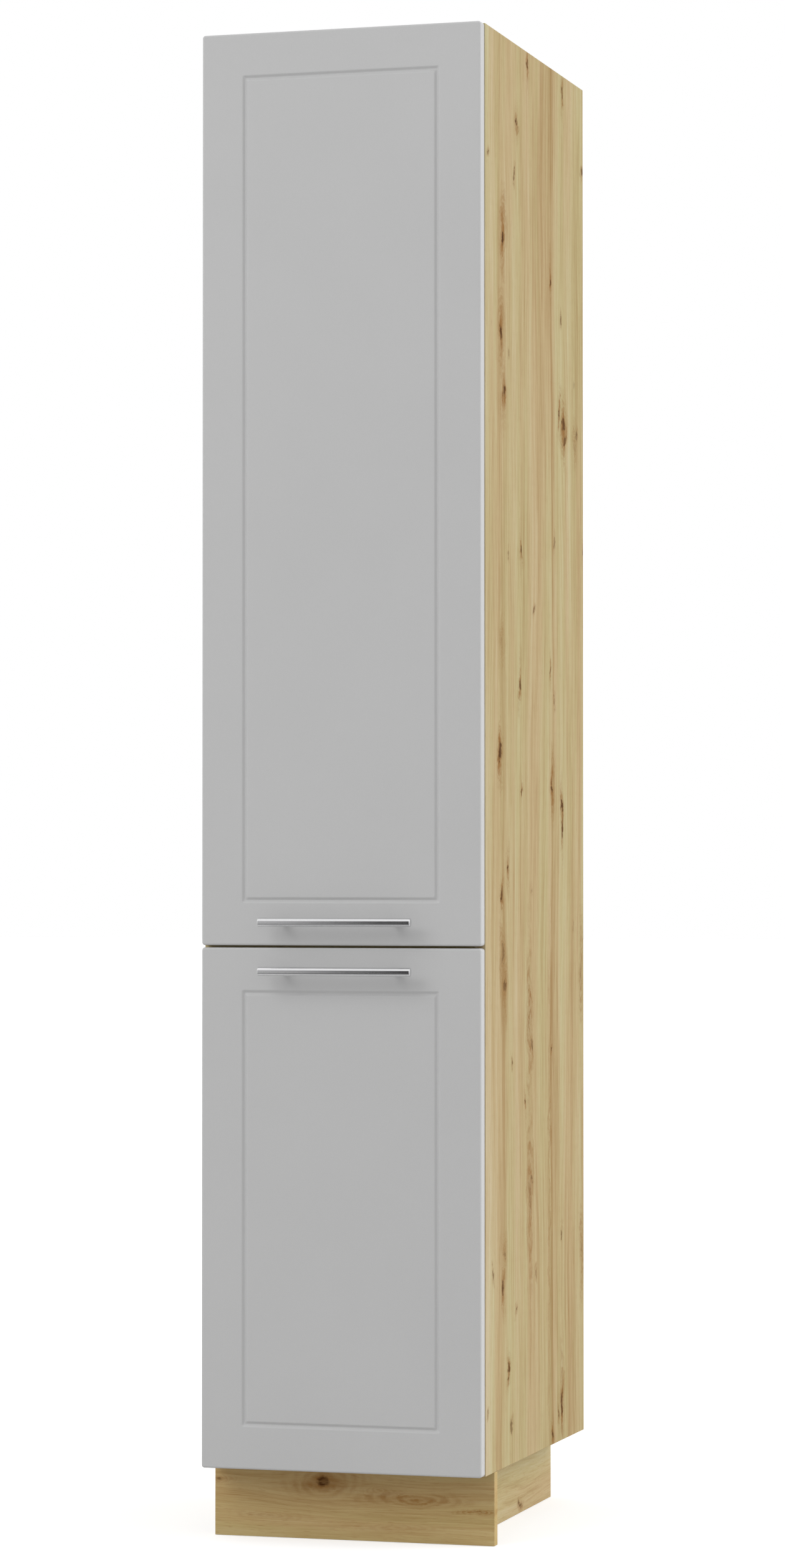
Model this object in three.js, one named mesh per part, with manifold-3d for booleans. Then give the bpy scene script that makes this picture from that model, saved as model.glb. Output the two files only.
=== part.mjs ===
// Tall kitchen larder cabinet with two pull-outs behind two framed fronts.
// Millimetres. +X is to the right, +Y towards the wall, +Z up.
// The origin is on the floor, in the middle of the footprint (handles to wall).
import * as THREE from "three";
import { mergeVertices } from "three/addons/utils/BufferGeometryUtils.js";
import Module from "manifold-3d";

const wasm = await Module();
wasm.setup();

// ---------------------------------------------------------------- sizes

// Carcass and plinth
const cabinetWidth = 400;
const carcassDepth = 550;
const carcassHeight = 1970;
const plinthHeight = 100;
const plinthSetback = 45; // plinth face behind the carcass's front edge
const plinthSideInset = 50; // plinth sides in from the cabinet's sides
const boardThickness = 16;
const boardJoint = 0.1; // glue line between two boards
const backThickness = 3;
const backRabbet = 8; // how far the back board laps onto each side panel

// Fronts
const frontThickness = 18;
const frontStandoff = 1; // buffers keep the fronts this far off the carcass
const frontReveal = 1; // front edge in from the cabinet's side
const frontGap = 3; // between the two fronts
const lowerFrontHeight = 713;
const frontEdgeRadius = 3;
const frontCornerRadius = 4;
const grooveInset = 62; // front's edge to the middle of the routed groove
const grooveWidth = 7;
const grooveDepth = 2.2;
const grooveCornerRadius = 4;

// Bar handles
const handleLength = 216;
const handleHoleSpacing = 160;
const handleBarDiameter = 12;
const handleBarChamfer = 0.6;
const handlePostDiameter = 10;
const handleSpigotDiameter = 6;
const handleSpigotLength = 4.5; // into the bar, from the bar's middle outwards
const handleProjection = 35; // front's face to the bar's outermost line
const handleEdgeDistance = 32; // bar's middle to the edge where the fronts meet
const screwDiameter = 4;
const screwDepth = 9; // into the post
const screwHeadDiameter = 8.5;
const screwHeadHeight = 2.6;
const screwHeadRim = 1; // straight part of the head, under its dome
const screwHeadTop = 5; // diameter of the head's flat top
const screwTipTaper = 0.6;

// Pull-out frame: rectangular steel tube
const frameSetback = 12; // frame behind the carcass's front edge
const frameRearGap = 45; // frame to the back board
const tubeWidth = 30; // across the cabinet
const tubeDepth = 20;
const tubeWall = 1.5;
const tubeCornerRadius = 2.5;
const seat = 0.3; // clearance between bolted or hooked pieces

// Ball-bearing runner under each frame
const sheet = 1.6; // steel thickness of the runner and guide profiles
const railSetback = 5; // runner and guide rails behind the carcass's front edge
const railRearGap = 42; // runner rail to the back board
const travelShortfall = 20; // the pull-out's travel is this much less than its rail's length
const railHeight = 20;
const railLip = 3.4;
const carriageHalfWidth = 15;
const carriageHeight = 23.6; // its top above the shelf
const carriageClearance = 6.4; // its lower edges above the shelf
const middleFloor = 3.2; // middle profile's underside above the shelf
const middleHeight = 19.4;
const ballRadius = 3;
const ballClearance = 0.3;
const raceDepth = 0.9;
const raceHeight = 4.8;
const outerBallHeight = 8.4;
const innerBallHeight = 13.6;
const cageMargin = 30; // profile left beyond each end of a cage, fully pulled out
const cageSheet = 0.8;
const cageRim = 2.2; // cage above its balls' middle
const ballsPerRow = 3;

// Guide above each frame
const guideRailHalfWidth = 20;
const guideRailHeight = 12;
const guideRailRearGap = 112; // guide rail to the back board
const guideRailLip = 3.4;
const guideSlideSetback = 20; // slide behind the carcass's front edge
const guideSlideRearGap = 15; // slide's end to its rail's end
const guideSlideHalfWidth = 12.8; // outside its two legs
const guideSlideDrop = 24; // foot of its legs below the ceiling
const guideFlangeClearance = 0.4;
const shoeLength = 60;
const shoeFromSlideEnd = 12;
const shoeClearance = 0.4;
const shoeBaseThickness = 4;
const shoeBaseGap = 2; // base below the slide's legs
const shoeNeckHalfWidth = 4;
const shoeHeadRise = 3; // head's underside above the feet of the slide's legs
const shoeBaseInset = 1; // base in from the sides of the frame's top rail

// Brackets that carry a front
const bracketThickness = 2;
const bracketHeight = 45;
const bracketHalfWidth = 120;
const bracketWebHalfWidth = 22;
const bracketSlotLength = 22;
const bracketSlotHeight = 6;
const bracketSlotPosition = 84;
const lowestBracketRise = 90; // frame's foot to the middle of the lowest bracket
const highestBracketDrop = 135; // frame's top to the middle of the highest bracket

// Wire baskets
const basketWidth = 320;
const basketHeight = 95;
const basketCornerRadius = 24;
const rimWire = 6;
const loopWire = 5; // the loop at half height
const baseWire = 6; // the loop round the floor
const middleLoopHeight = 48;
const floorWire = 3.4;
const floorWireCount = 12;
const uprightWire = 4.5;
const uprightCount = 3; // on each side
const cornerMargin = 10; // wires keep this far from where the corners start
const weld = 0.5; // how deep crossing wires sink into each other
const hookPlateWidth = 34;
const hookPlateThickness = 2;
const hookWidth = 4;
const hookHeight = 14;
const hookNose = 6; // how far a hook drops behind the tube's wall
const hookSpread = 18; // between a plate's two hooks
const firstBasketHeight = 66; // basket's floor above the compartment's
const basketPitch = 285;
const lowerBaskets = 2;
const upperBaskets = 4;

// ---------------------------------------------------------------- places

const overallDepth = handleProjection + frontThickness + frontStandoff + carcassDepth;
const frontFaceY = -overallDepth / 2 + handleProjection;
const frontBackY = frontFaceY + frontThickness;
const carcassFrontY = frontBackY + frontStandoff;
const carcassBackY = carcassFrontY + carcassDepth;
const insideBackY = carcassBackY - backThickness - boardJoint;

const halfWidth = cabinetWidth / 2;
const halfInside = halfWidth - boardThickness;
const carcassTopZ = plinthHeight + carcassHeight;
const fronts = {
  lower: { bottom: plinthHeight, top: plinthHeight + lowerFrontHeight },
  upper: { bottom: plinthHeight + lowerFrontHeight + frontGap, top: carcassTopZ },
};
const shelfMiddleZ = (fronts.lower.top + fronts.upper.bottom) / 2;
const compartments = {
  lower: { floor: plinthHeight + boardThickness, ceiling: shelfMiddleZ - boardThickness / 2 },
  upper: { floor: shelfMiddleZ + boardThickness / 2, ceiling: carcassTopZ - boardThickness },
};

const clearDepth = carcassDepth - backThickness;
const frameDepth = clearDepth - frameSetback - frameRearGap;
const frameFrontY = carcassFrontY + frameSetback;
const frameBackY = frameFrontY + frameDepth;
const railLength = clearDepth - railSetback - railRearGap;
const guideRailLength = clearDepth - railSetback - guideRailRearGap;
const guideSlideLength = railSetback + guideRailLength - guideSlideSetback - guideSlideRearGap;
const travel = railLength - travelShortfall;
const cageLength = railLength - travel / 2 - 2 * cageMargin;

// Runner: each wall follows from the last, with a ball between them.
const ballReach = ballRadius + ballClearance - raceDepth; // ball's middle to a wall's plain face
const innerBallX = carriageHalfWidth + ballReach;
const middleInsideX = innerBallX + ballReach;
const middleOutsideX = middleInsideX + sheet;
const outerBallX = middleOutsideX + ballReach;
const railInsideX = outerBallX + ballReach;

// Guide: depths below the compartment's ceiling.
const guidePlateBottom = guideRailHeight - sheet - guideFlangeClearance;
const guidePlateTop = guidePlateBottom - sheet;
const shoeBaseTop = guideSlideDrop + shoeBaseGap;
const frameTopGap = shoeBaseTop + shoeBaseThickness + seat;

const wireLineDepth = frameDepth - 2 * (tubeDepth + seat + hookPlateThickness - weld) - loopWire;
const basketDepth = wireLineDepth + rimWire;
const squareHalf = Math.SQRT1_2 / 2; // a square wire's half height, per diameter
const basketMiddleY = (frameFrontY + frameBackY) / 2;

// ---------------------------------------------------------------- materials

const oakDecor = new THREE.MeshStandardMaterial({ color: 0xbba881, roughness: 0.55, metalness: 0 });
const whiteBoard = new THREE.MeshStandardMaterial({ color: 0xe8e8e4, roughness: 0.6, metalness: 0 });
const greyFoil = new THREE.MeshStandardMaterial({ color: 0xb8b8b8, roughness: 0.5, metalness: 0 });
const brushedSteel = new THREE.MeshStandardMaterial({ color: 0xb9b9b7, roughness: 0.3, metalness: 1 });
const zincSteel = new THREE.MeshStandardMaterial({ color: 0xa9adb0, roughness: 0.4, metalness: 1 });
const silverPaint = new THREE.MeshStandardMaterial({ color: 0xa4a6a8, roughness: 0.45, metalness: 0.3 });
const chromeWire = new THREE.MeshStandardMaterial({ color: 0xd6d8da, roughness: 0.12, metalness: 1 });
const greyNylon = new THREE.MeshStandardMaterial({ color: 0x6f7275, roughness: 0.6, metalness: 0 });

// ---------------------------------------------------------------- making solids

const unitX = new THREE.Vector3(1, 0, 0);
const unitY = new THREE.Vector3(0, 1, 0);
const unitZ = new THREE.Vector3(0, 0, 1);

const cabinet = new THREE.Group();

function addPiece(name, geometry, material, position = [0, 0, 0]) {
  const mesh = new THREE.Mesh(geometry, material);
  mesh.name = name;
  mesh.position.set(...position);
  cabinet.add(mesh);
  return mesh;
}

function toSolid(geometry) {
  const plain = geometry.clone();
  for (const name of Object.keys(plain.attributes)) {
    if (name !== "position") plain.deleteAttribute(name);
  }
  const merged = mergeVertices(plain, 1e-4);
  return new wasm.Manifold(
    new wasm.Mesh({
      numProp: 3,
      vertProperties: new Float32Array(merged.attributes.position.array),
      triVerts: new Uint32Array(merged.index.array),
    }),
  );
}

function toGeometry(solid) {
  const mesh = solid.getMesh();
  const geometry = new THREE.BufferGeometry();
  geometry.setAttribute("position", new THREE.BufferAttribute(mesh.vertProperties, 3));
  geometry.setIndex(new THREE.BufferAttribute(mesh.triVerts, 1));
  const flat = geometry.toNonIndexed();
  flat.computeVertexNormals();
  return flat;
}

function cut(geometry, ...tools) {
  return toGeometry(tools.reduce((left, tool) => left.subtract(toSolid(tool)), toSolid(geometry)));
}

function join(...geometries) {
  return toGeometry(geometries.map(toSolid).reduce((whole, piece) => whole.add(piece)));
}

function box(x0, x1, y0, y1, z0, z1) {
  return new THREE.BoxGeometry(x1 - x0, y1 - y0, z1 - z0)
    .translate((x0 + x1) / 2, (y0 + y1) / 2, (z0 + z1) / 2);
}

// A shape drawn in X and Z, as long as the stretch from yFront to yBack.
function profileAlongY(shape, yFront, yBack) {
  return new THREE.ExtrudeGeometry(shape, { depth: yBack - yFront, bevelEnabled: false, curveSegments: 2 })
    .rotateX(Math.PI / 2)
    .translate(0, yBack, 0);
}

// A shape drawn in X and Y, as tall as the stretch from zBottom to zTop.
function profileAlongZ(shape, zBottom, zTop) {
  return new THREE.ExtrudeGeometry(shape, { depth: zTop - zBottom, bevelEnabled: false, curveSegments: 2 })
    .translate(0, 0, zBottom);
}

// A turned piece whose axis runs along Y; the profile lists [radius, y].
function turnedAlongY(profile, segments) {
  return new THREE.LatheGeometry(profile.map(([r, y]) => new THREE.Vector2(r, y)), segments);
}

function cylinderAlongY(radius, yFront, yBack, segments) {
  return turnedAlongY([[0, yFront], [radius, yFront], [radius, yBack], [0, yBack]], segments);
}

function roundedRectangle(halfX, halfY, radius) {
  const shape = new THREE.Shape();
  shape.moveTo(halfX, -halfY + radius);
  shape.lineTo(halfX, halfY - radius);
  shape.absarc(halfX - radius, halfY - radius, radius, 0, Math.PI / 2);
  shape.absarc(-halfX + radius, halfY - radius, radius, Math.PI / 2, Math.PI);
  shape.absarc(-halfX + radius, -halfY + radius, radius, Math.PI, 1.5 * Math.PI);
  shape.absarc(halfX - radius, -halfY + radius, radius, 1.5 * Math.PI, 2 * Math.PI);
  return shape;
}

// The outline of bent sheet: the line through its middle, thickened to both sides.
function bentSheet(line, thickness) {
  const points = line.map(([x, y]) => new THREE.Vector2(x, y));
  const side = (sign) =>
    points.map((point, i) => {
      const before = points[Math.max(i - 1, 0)];
      const after = points[Math.min(i + 1, points.length - 1)];
      const into = point.equals(before) ? after.clone().sub(point) : point.clone().sub(before);
      const outOf = point.equals(after) ? into.clone() : after.clone().sub(point);
      const normal = new THREE.Vector2(-into.y, into.x).normalize();
      const miter = normal.clone().add(new THREE.Vector2(-outOf.y, outOf.x).normalize()).normalize();
      return point.clone().addScaledVector(miter, (sign * thickness) / 2 / miter.dot(normal));
    });
  return new THREE.Shape([...side(-1), ...side(1).reverse()]);
}

// Skins a row of point rings; the first and last are closed, or joined when looped.
function loft(rings, looped = false) {
  const count = rings[0].length;
  const positions = rings.flat().flatMap((p) => [p.x, p.y, p.z]);
  const index = [];
  const bands = looped ? rings.length : rings.length - 1;
  for (let i = 0; i < bands; i += 1) {
    const a = i * count;
    const b = ((i + 1) % rings.length) * count;
    for (let k = 0; k < count; k += 1) {
      const next = (k + 1) % count;
      index.push(a + k, a + next, b + next, a + k, b + next, b + k);
    }
  }
  if (!looped) {
    const last = (rings.length - 1) * count;
    for (let k = 1; k < count - 1; k += 1) {
      index.push(0, k + 1, k, last, last + k, last + k + 1);
    }
  }
  const geometry = new THREE.BufferGeometry();
  geometry.setAttribute("position", new THREE.Float32BufferAttribute(positions, 3));
  geometry.setIndex(index);
  const flat = geometry.toNonIndexed();
  flat.computeVertexNormals();
  return flat;
}

// A wire that stays in the plane square to normal, with a mitred ring at each point.
function wire(points, normal, diameter, sides, looped = false) {
  const rings = points.map((point, i) => {
    const before = points[looped ? (i + points.length - 1) % points.length : Math.max(i - 1, 0)];
    const after = points[looped ? (i + 1) % points.length : Math.min(i + 1, points.length - 1)];
    const into = point.clone().sub(before).normalize();
    const outOf = after.clone().sub(point).normalize();
    const along = into.clone().add(outOf).normalize();
    const across = new THREE.Vector3().crossVectors(normal, along);
    const stretch = 1 / Math.max(along.dot(into), along.dot(outOf));
    return Array.from({ length: sides }, (_, k) => {
      const angle = ((k + 0.5) / sides) * 2 * Math.PI;
      return point
        .clone()
        .addScaledVector(across, (Math.cos(angle) * stretch * diameter) / 2)
        .addScaledVector(normal, (Math.sin(angle) * diameter) / 2);
    });
  });
  return loft(rings, looped);
}

// ---------------------------------------------------------------- carcass and plinth

function sidePanel(sign) {
  const outer = sign * halfWidth;
  const inner = sign * halfInside;
  const rabbet = inner + sign * backRabbet;
  const outline = [
    [outer, carcassFrontY],
    [outer, carcassBackY],
    [rabbet, carcassBackY],
    [rabbet, insideBackY],
    [inner, insideBackY],
    [inner, carcassFrontY],
  ].map(([x, y]) => new THREE.Vector2(x, y));
  return profileAlongZ(new THREE.Shape(outline), plinthHeight, carcassTopZ);
}

// A board between the two sides.
function crossBoard(zBottom) {
  const reach = halfInside - boardJoint;
  return box(-reach, reach, carcassFrontY, insideBackY, zBottom, zBottom + boardThickness);
}

function backBoard(zBottom, zTop) {
  const reach = halfInside + backRabbet - boardJoint;
  return box(-reach, reach, carcassBackY - backThickness, carcassBackY, zBottom, zTop);
}

function addCarcass() {
  addPiece("side_panel_left", sidePanel(-1), oakDecor);
  addPiece("side_panel_right", sidePanel(1), oakDecor);
  addPiece("bottom_panel", crossBoard(plinthHeight), oakDecor);
  addPiece("middle_shelf", crossBoard(shelfMiddleZ - boardThickness / 2), oakDecor);
  addPiece("top_panel", crossBoard(carcassTopZ - boardThickness), oakDecor);
  addPiece("back_board_lower", backBoard(plinthHeight, shelfMiddleZ - boardJoint), whiteBoard);
  addPiece("back_board_upper", backBoard(shelfMiddleZ + boardJoint, carcassTopZ), whiteBoard);
}

function addPlinth() {
  const top = plinthHeight - boardJoint;
  const faceY = carcassFrontY + plinthSetback;
  const sidesFrontY = faceY + boardThickness + boardJoint;
  const sideOuter = halfWidth - plinthSideInset;
  const sideInner = sideOuter - boardThickness;
  const railReach = sideInner - boardJoint;
  addPiece("plinth_front", box(-halfWidth, halfWidth, faceY, faceY + boardThickness, 0, top), oakDecor);
  addPiece("plinth_side_left", box(-sideOuter, -sideInner, sidesFrontY, carcassBackY, 0, top), oakDecor);
  addPiece("plinth_side_right", box(sideInner, sideOuter, sidesFrontY, carcassBackY, 0, top), oakDecor);
  addPiece(
    "plinth_rear",
    box(-railReach, railReach, carcassBackY - boardThickness, carcassBackY, 0, top),
    oakDecor,
  );
}

// ---------------------------------------------------------------- fronts and handles

// One ring of a front: a rounded rectangle set in from the front's edge, at depth y.
function frontRing(halfX, halfZ, middleZ, inset, radius, y) {
  const cornerSteps = 3;
  const ring = [];
  for (const [signX, signZ, start] of [[1, -1, -0.5], [1, 1, 0], [-1, 1, 0.5], [-1, -1, 1]]) {
    for (let step = 0; step <= cornerSteps; step += 1) {
      const angle = (start + (0.5 * step) / cornerSteps) * Math.PI;
      ring.push(
        new THREE.Vector3(
          signX * (halfX - inset - radius) + radius * Math.cos(angle),
          y,
          middleZ + signZ * (halfZ - inset - radius) + radius * Math.sin(angle),
        ),
      );
    }
  }
  return ring;
}

// Distance in from the edge and depth behind the face, from the back round to the middle of the face.
function frontProfile() {
  const profile = [[0, frontThickness]];
  const edgeSteps = 3;
  for (let step = 0; step <= edgeSteps; step += 1) {
    const angle = ((step / edgeSteps) * Math.PI) / 2;
    profile.push([frontEdgeRadius * (1 - Math.cos(angle)), frontEdgeRadius * (1 - Math.sin(angle))]);
  }
  const grooveSteps = 4;
  for (let step = 0; step <= grooveSteps; step += 1) {
    const angle = (step / grooveSteps) * Math.PI;
    profile.push([grooveInset - (grooveWidth / 2) * Math.cos(angle), grooveDepth * Math.sin(angle)]);
  }
  return profile;
}

function frontPanel(bottomZ, topZ, handleZ) {
  const halfX = halfWidth - frontReveal;
  const halfZ = (topZ - bottomZ) / 2;
  const middleZ = (topZ + bottomZ) / 2;
  const rings = frontProfile().map(([inset, depth]) => {
    const edgeRadius = Math.max(frontCornerRadius - inset, 0.5);
    const grooveRadius = grooveCornerRadius + grooveInset - inset;
    const radius = inset < grooveInset / 2 ? edgeRadius : grooveRadius;
    return frontRing(halfX, halfZ, middleZ, inset, radius, frontFaceY + depth);
  });
  const holes = [-1, 1].map((side) =>
    cylinderAlongY(screwDiameter / 2 + seat, frontFaceY - 1, frontBackY + 1, 10)
      .translate((side * handleHoleSpacing) / 2, 0, handleZ));
  return cut(loft(rings), ...holes);
}

const handleBarY = frontFaceY - handleProjection + handleBarDiameter / 2;

function handleBar(z) {
  const r = handleBarDiameter / 2;
  const half = handleLength / 2;
  const flat = r - handleBarChamfer;
  const round = half - handleBarChamfer;
  const bar = turnedAlongY([[0, -half], [flat, -half], [r, -round], [r, round], [flat, half], [0, half]], 16)
    .rotateZ(Math.PI / 2)
    .translate(0, handleBarY, z);
  const sockets = [-1, 1].map((side) =>
    cylinderAlongY(handleSpigotDiameter / 2 + seat, handleBarY - seat, handleBarY + 2 * r, 10)
      .translate((side * handleHoleSpacing) / 2, 0, z));
  return cut(bar, ...sockets);
}

function handlePost(x, z) {
  const r = handlePostDiameter / 2;
  const spigot = handleSpigotDiameter / 2;
  const barBackY = handleBarY + handleBarDiameter / 2;
  const footY = frontFaceY - seat / 3;
  const body = cylinderAlongY(r, handleBarY, footY, 14).translate(x, 0, z);
  const saddle = turnedAlongY([[0, -2 * r], [handleBarDiameter / 2 + seat, -2 * r],
    [handleBarDiameter / 2 + seat, 2 * r], [0, 2 * r]], 16)
    .rotateZ(Math.PI / 2)
    .translate(x, handleBarY, z);
  const pin = cylinderAlongY(spigot, barBackY - handleSpigotLength, barBackY + 1, 10).translate(x, 0, z);
  const thread = cylinderAlongY(screwDiameter / 2 + seat, footY - screwDepth - 1, footY + 1, 10)
    .translate(x, 0, z);
  return cut(join(cut(body, saddle), pin), thread);
}

function handleScrew(x, z) {
  const shank = screwDiameter / 2;
  const head = screwHeadDiameter / 2;
  const underHead = frontBackY + seat / 3;
  const headTop = underHead + screwHeadHeight;
  const tip = frontFaceY - screwDepth;
  const profile = [
    [0, tip],
    [shank - screwTipTaper, tip],
    [shank, tip + screwTipTaper],
    [shank, underHead],
    [head, underHead],
    [head, underHead + screwHeadRim],
    [screwHeadTop / 2, headTop],
    [0, headTop],
  ];
  return turnedAlongY(profile, 8).translate(x, 0, z);
}

function addFront(level) {
  const { bottom, top } = fronts[level];
  const handleZ = level === "lower" ? top - handleEdgeDistance : bottom + handleEdgeDistance;
  addPiece(`${level}_front`, frontPanel(bottom, top, handleZ), greyFoil);
  addPiece(`${level}_handle_bar`, handleBar(handleZ), brushedSteel);
  for (const [side, sign] of [["left", -1], ["right", 1]]) {
    const x = (sign * handleHoleSpacing) / 2;
    addPiece(`${level}_handle_post_${side}`, handlePost(x, handleZ), brushedSteel);
    addPiece(`${level}_handle_screw_${side}`, handleScrew(x, handleZ), zincSteel);
  }
}

// ---------------------------------------------------------------- ball-bearing runner

// A bulge in a sheet wall that holds a row of balls; outward is +1 or -1.
function race(wallX, ballZ, outward) {
  const bulgeX = wallX + outward * raceDepth;
  return [
    [wallX, ballZ - raceHeight / 2],
    [bulgeX, ballZ - raceHeight / 4],
    [bulgeX, ballZ + raceHeight / 4],
    [wallX, ballZ + raceHeight / 2],
  ];
}

// Repeats the right half of a profile on the left, so that the line runs from left to right.
function mirrored(rightHalf) {
  const left = rightHalf.map(([x, z]) => [-x, z]).reverse();
  return [...left, ...rightHalf];
}

function runnerRailShape() {
  const wallX = railInsideX + sheet / 2;
  return bentSheet(
    mirrored([
      [wallX, sheet / 2],
      ...race(wallX, outerBallHeight, 1),
      [wallX, railHeight - sheet / 2],
      [wallX - railLip, railHeight - sheet / 2],
    ]),
    sheet,
  );
}

function runnerMiddleShape() {
  const wallX = (middleInsideX + middleOutsideX) / 2;
  return bentSheet(
    mirrored([
      [wallX, middleFloor + sheet / 2],
      ...race(wallX, outerBallHeight, -1),
      ...race(wallX, innerBallHeight, 1),
      [wallX, middleHeight],
    ]),
    sheet,
  );
}

function runnerCarriageShape() {
  const wallX = carriageHalfWidth - sheet / 2;
  const topZ = carriageHeight - sheet / 2;
  return bentSheet(
    mirrored([[wallX, topZ], ...race(wallX, innerBallHeight, -1).reverse(), [wallX, carriageClearance]]),
    sheet,
  );
}

// A ball in few facets, with a flat towards each race.
function ball() {
  const flat = ballRadius * Math.sin(Math.PI / 3);
  return turnedAlongY([[0, -ballRadius], [flat, -ballRadius / 2], [flat, ballRadius / 2], [0, ballRadius]], 6)
    .rotateZ(Math.PI / 2);
}

// A sheet trough with balls along both sides.
function ballCage(ballX, ballZ, floorZ) {
  const trough = bentSheet(
    mirrored([[ballX, floorZ + cageSheet / 2], [ballX, ballZ + cageRim]]),
    cageSheet,
  );
  const middleY = (frameFrontY + frameBackY) / 2;
  const pieces = [profileAlongY(trough, middleY - cageLength / 2, middleY + cageLength / 2)];
  const pitch = cageLength / ballsPerRow;
  for (const side of [-1, 1]) {
    for (let i = 0; i < ballsPerRow; i += 1) {
      const y = middleY + (i - (ballsPerRow - 1) / 2) * pitch;
      pieces.push(ball().translate(side * ballX, y, ballZ));
    }
  }
  return join(...pieces);
}

function addRunner(level) {
  const place = [0, 0, compartments[level].floor + boardJoint];
  const railFrontY = carcassFrontY + railSetback;
  const cageFloorOuter = (sheet + middleFloor - cageSheet) / 2;
  const cageFloorInner = (middleFloor + sheet + carriageClearance - cageSheet) / 2;
  addPiece(
    `${level}_runner_rail`,
    profileAlongY(runnerRailShape(), railFrontY, railFrontY + railLength),
    zincSteel,
    place,
  );
  addPiece(
    `${level}_runner_middle`,
    profileAlongY(runnerMiddleShape(), frameFrontY, frameBackY),
    zincSteel,
    place,
  );
  addPiece(
    `${level}_runner_carriage`,
    profileAlongY(runnerCarriageShape(), frameFrontY, frameBackY),
    zincSteel,
    place,
  );
  addPiece(
    `${level}_ball_cage_outer`,
    ballCage(outerBallX, outerBallHeight, cageFloorOuter),
    brushedSteel,
    place,
  );
  addPiece(
    `${level}_ball_cage_inner`,
    ballCage(innerBallX, innerBallHeight, cageFloorInner),
    brushedSteel,
    place,
  );
}

// ---------------------------------------------------------------- top guide

function guideRailShape() {
  const wallX = guideRailHalfWidth - sheet / 2;
  return bentSheet(
    mirrored([
      [wallX, -sheet / 2],
      [wallX, -guideRailHeight + sheet / 2],
      [wallX - guideRailLip, -guideRailHeight + sheet / 2],
    ]),
    sheet,
  );
}

// A flat plate that hangs in the rail's lips, with two legs down to guide the shoe.
function guideSlideShape() {
  const plateX = guideRailHalfWidth - sheet - guideFlangeClearance;
  const legOut = guideSlideHalfWidth;
  const legIn = guideSlideHalfWidth - sheet;
  const right = [
    [plateX, -guidePlateTop],
    [plateX, -guidePlateBottom],
    [legOut, -guidePlateBottom],
    [legOut, -guideSlideDrop],
    [legIn, -guideSlideDrop],
    [legIn, -guidePlateBottom],
  ];
  const left = right.map(([x, z]) => [-x, z]).reverse();
  return new THREE.Shape([...right, ...left].map(([x, z]) => new THREE.Vector2(x, z)));
}

// Nylon shoe: a base on the frame's top rail, a neck, and a head between the slide's legs.
function guideShoeShape() {
  const headX = guideSlideHalfWidth - sheet - shoeClearance;
  const headTop = guidePlateBottom + shoeClearance;
  const headBottom = guideSlideDrop - shoeHeadRise;
  const baseX = tubeWidth / 2 - shoeBaseInset;
  const right = [
    [headX, -headTop],
    [headX, -headBottom],
    [shoeNeckHalfWidth, -headBottom],
    [shoeNeckHalfWidth, -shoeBaseTop],
    [baseX, -shoeBaseTop],
    [baseX, -shoeBaseTop - shoeBaseThickness],
  ];
  const left = right.map(([x, z]) => [-x, z]).reverse();
  return new THREE.Shape([...right, ...left].map(([x, z]) => new THREE.Vector2(x, z)));
}

function addGuide(level) {
  const place = [0, 0, compartments[level].ceiling - boardJoint];
  const railFrontY = carcassFrontY + railSetback;
  const slideFrontY = carcassFrontY + guideSlideSetback;
  const shoeBackY = slideFrontY + guideSlideLength - shoeFromSlideEnd;
  addPiece(
    `${level}_guide_rail`,
    profileAlongY(guideRailShape(), railFrontY, railFrontY + guideRailLength),
    zincSteel,
    place,
  );
  addPiece(
    `${level}_guide_slide`,
    profileAlongY(guideSlideShape(), slideFrontY, slideFrontY + guideSlideLength),
    zincSteel,
    place,
  );
  addPiece(
    `${level}_guide_shoe`,
    profileAlongY(guideShoeShape(), shoeBackY - shoeLength, shoeBackY),
    greyNylon,
    place,
  );
}

// ---------------------------------------------------------------- pull-out frame

function tubeShape(halfX, halfY) {
  const shape = roundedRectangle(halfX, halfY, tubeCornerRadius);
  const insideRadius = Math.max(tubeCornerRadius - tubeWall, 0.5);
  shape.holes.push(roundedRectangle(halfX - tubeWall, halfY - tubeWall, insideRadius));
  return shape;
}

function frameHeights(level) {
  const { floor, ceiling } = compartments[level];
  return { bottom: floor + boardJoint + carriageHeight + seat, top: ceiling - boardJoint - frameTopGap };
}

function basketFloors(level) {
  const count = level === "lower" ? lowerBaskets : upperBaskets;
  return Array.from({ length: count }, (_, i) =>
    compartments[level].floor + firstBasketHeight + i * basketPitch);
}

function hookHeights(basketFloor) {
  const upperHook = basketFloor + basketHeight - hookHeight - hookSpread / 2;
  return [upperHook - hookSpread - hookHeight, upperHook];
}

// An upright with a pair of slots for each basket, in the wall that faces the baskets.
function framePost(level, faceSign) {
  const { bottom, top } = frameHeights(level);
  const middleY = faceSign > 0 ? frameFrontY + tubeDepth / 2 : frameBackY - tubeDepth / 2;
  const tube = profileAlongZ(tubeShape(tubeWidth / 2, tubeDepth / 2), bottom, top).translate(0, middleY, 0);
  const wallY = middleY + faceSign * (tubeDepth / 2 - tubeWall / 2);
  const slotHalf = hookWidth / 2 + seat;
  const slots = basketFloors(level).flatMap((floor) =>
    hookHeights(floor).map((z) =>
      box(-slotHalf, slotHalf, wallY - tubeWall, wallY + tubeWall,
        z - seat, z + hookHeight + hookNose + seat)));
  return cut(tube, ...slots);
}

function frameRail(zBottom) {
  const tube = profileAlongY(
    tubeShape(tubeWidth / 2, tubeDepth / 2),
    frameFrontY + tubeDepth + boardJoint,
    frameBackY - tubeDepth - boardJoint,
  );
  return tube.translate(0, 0, zBottom + tubeDepth / 2);
}

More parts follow.
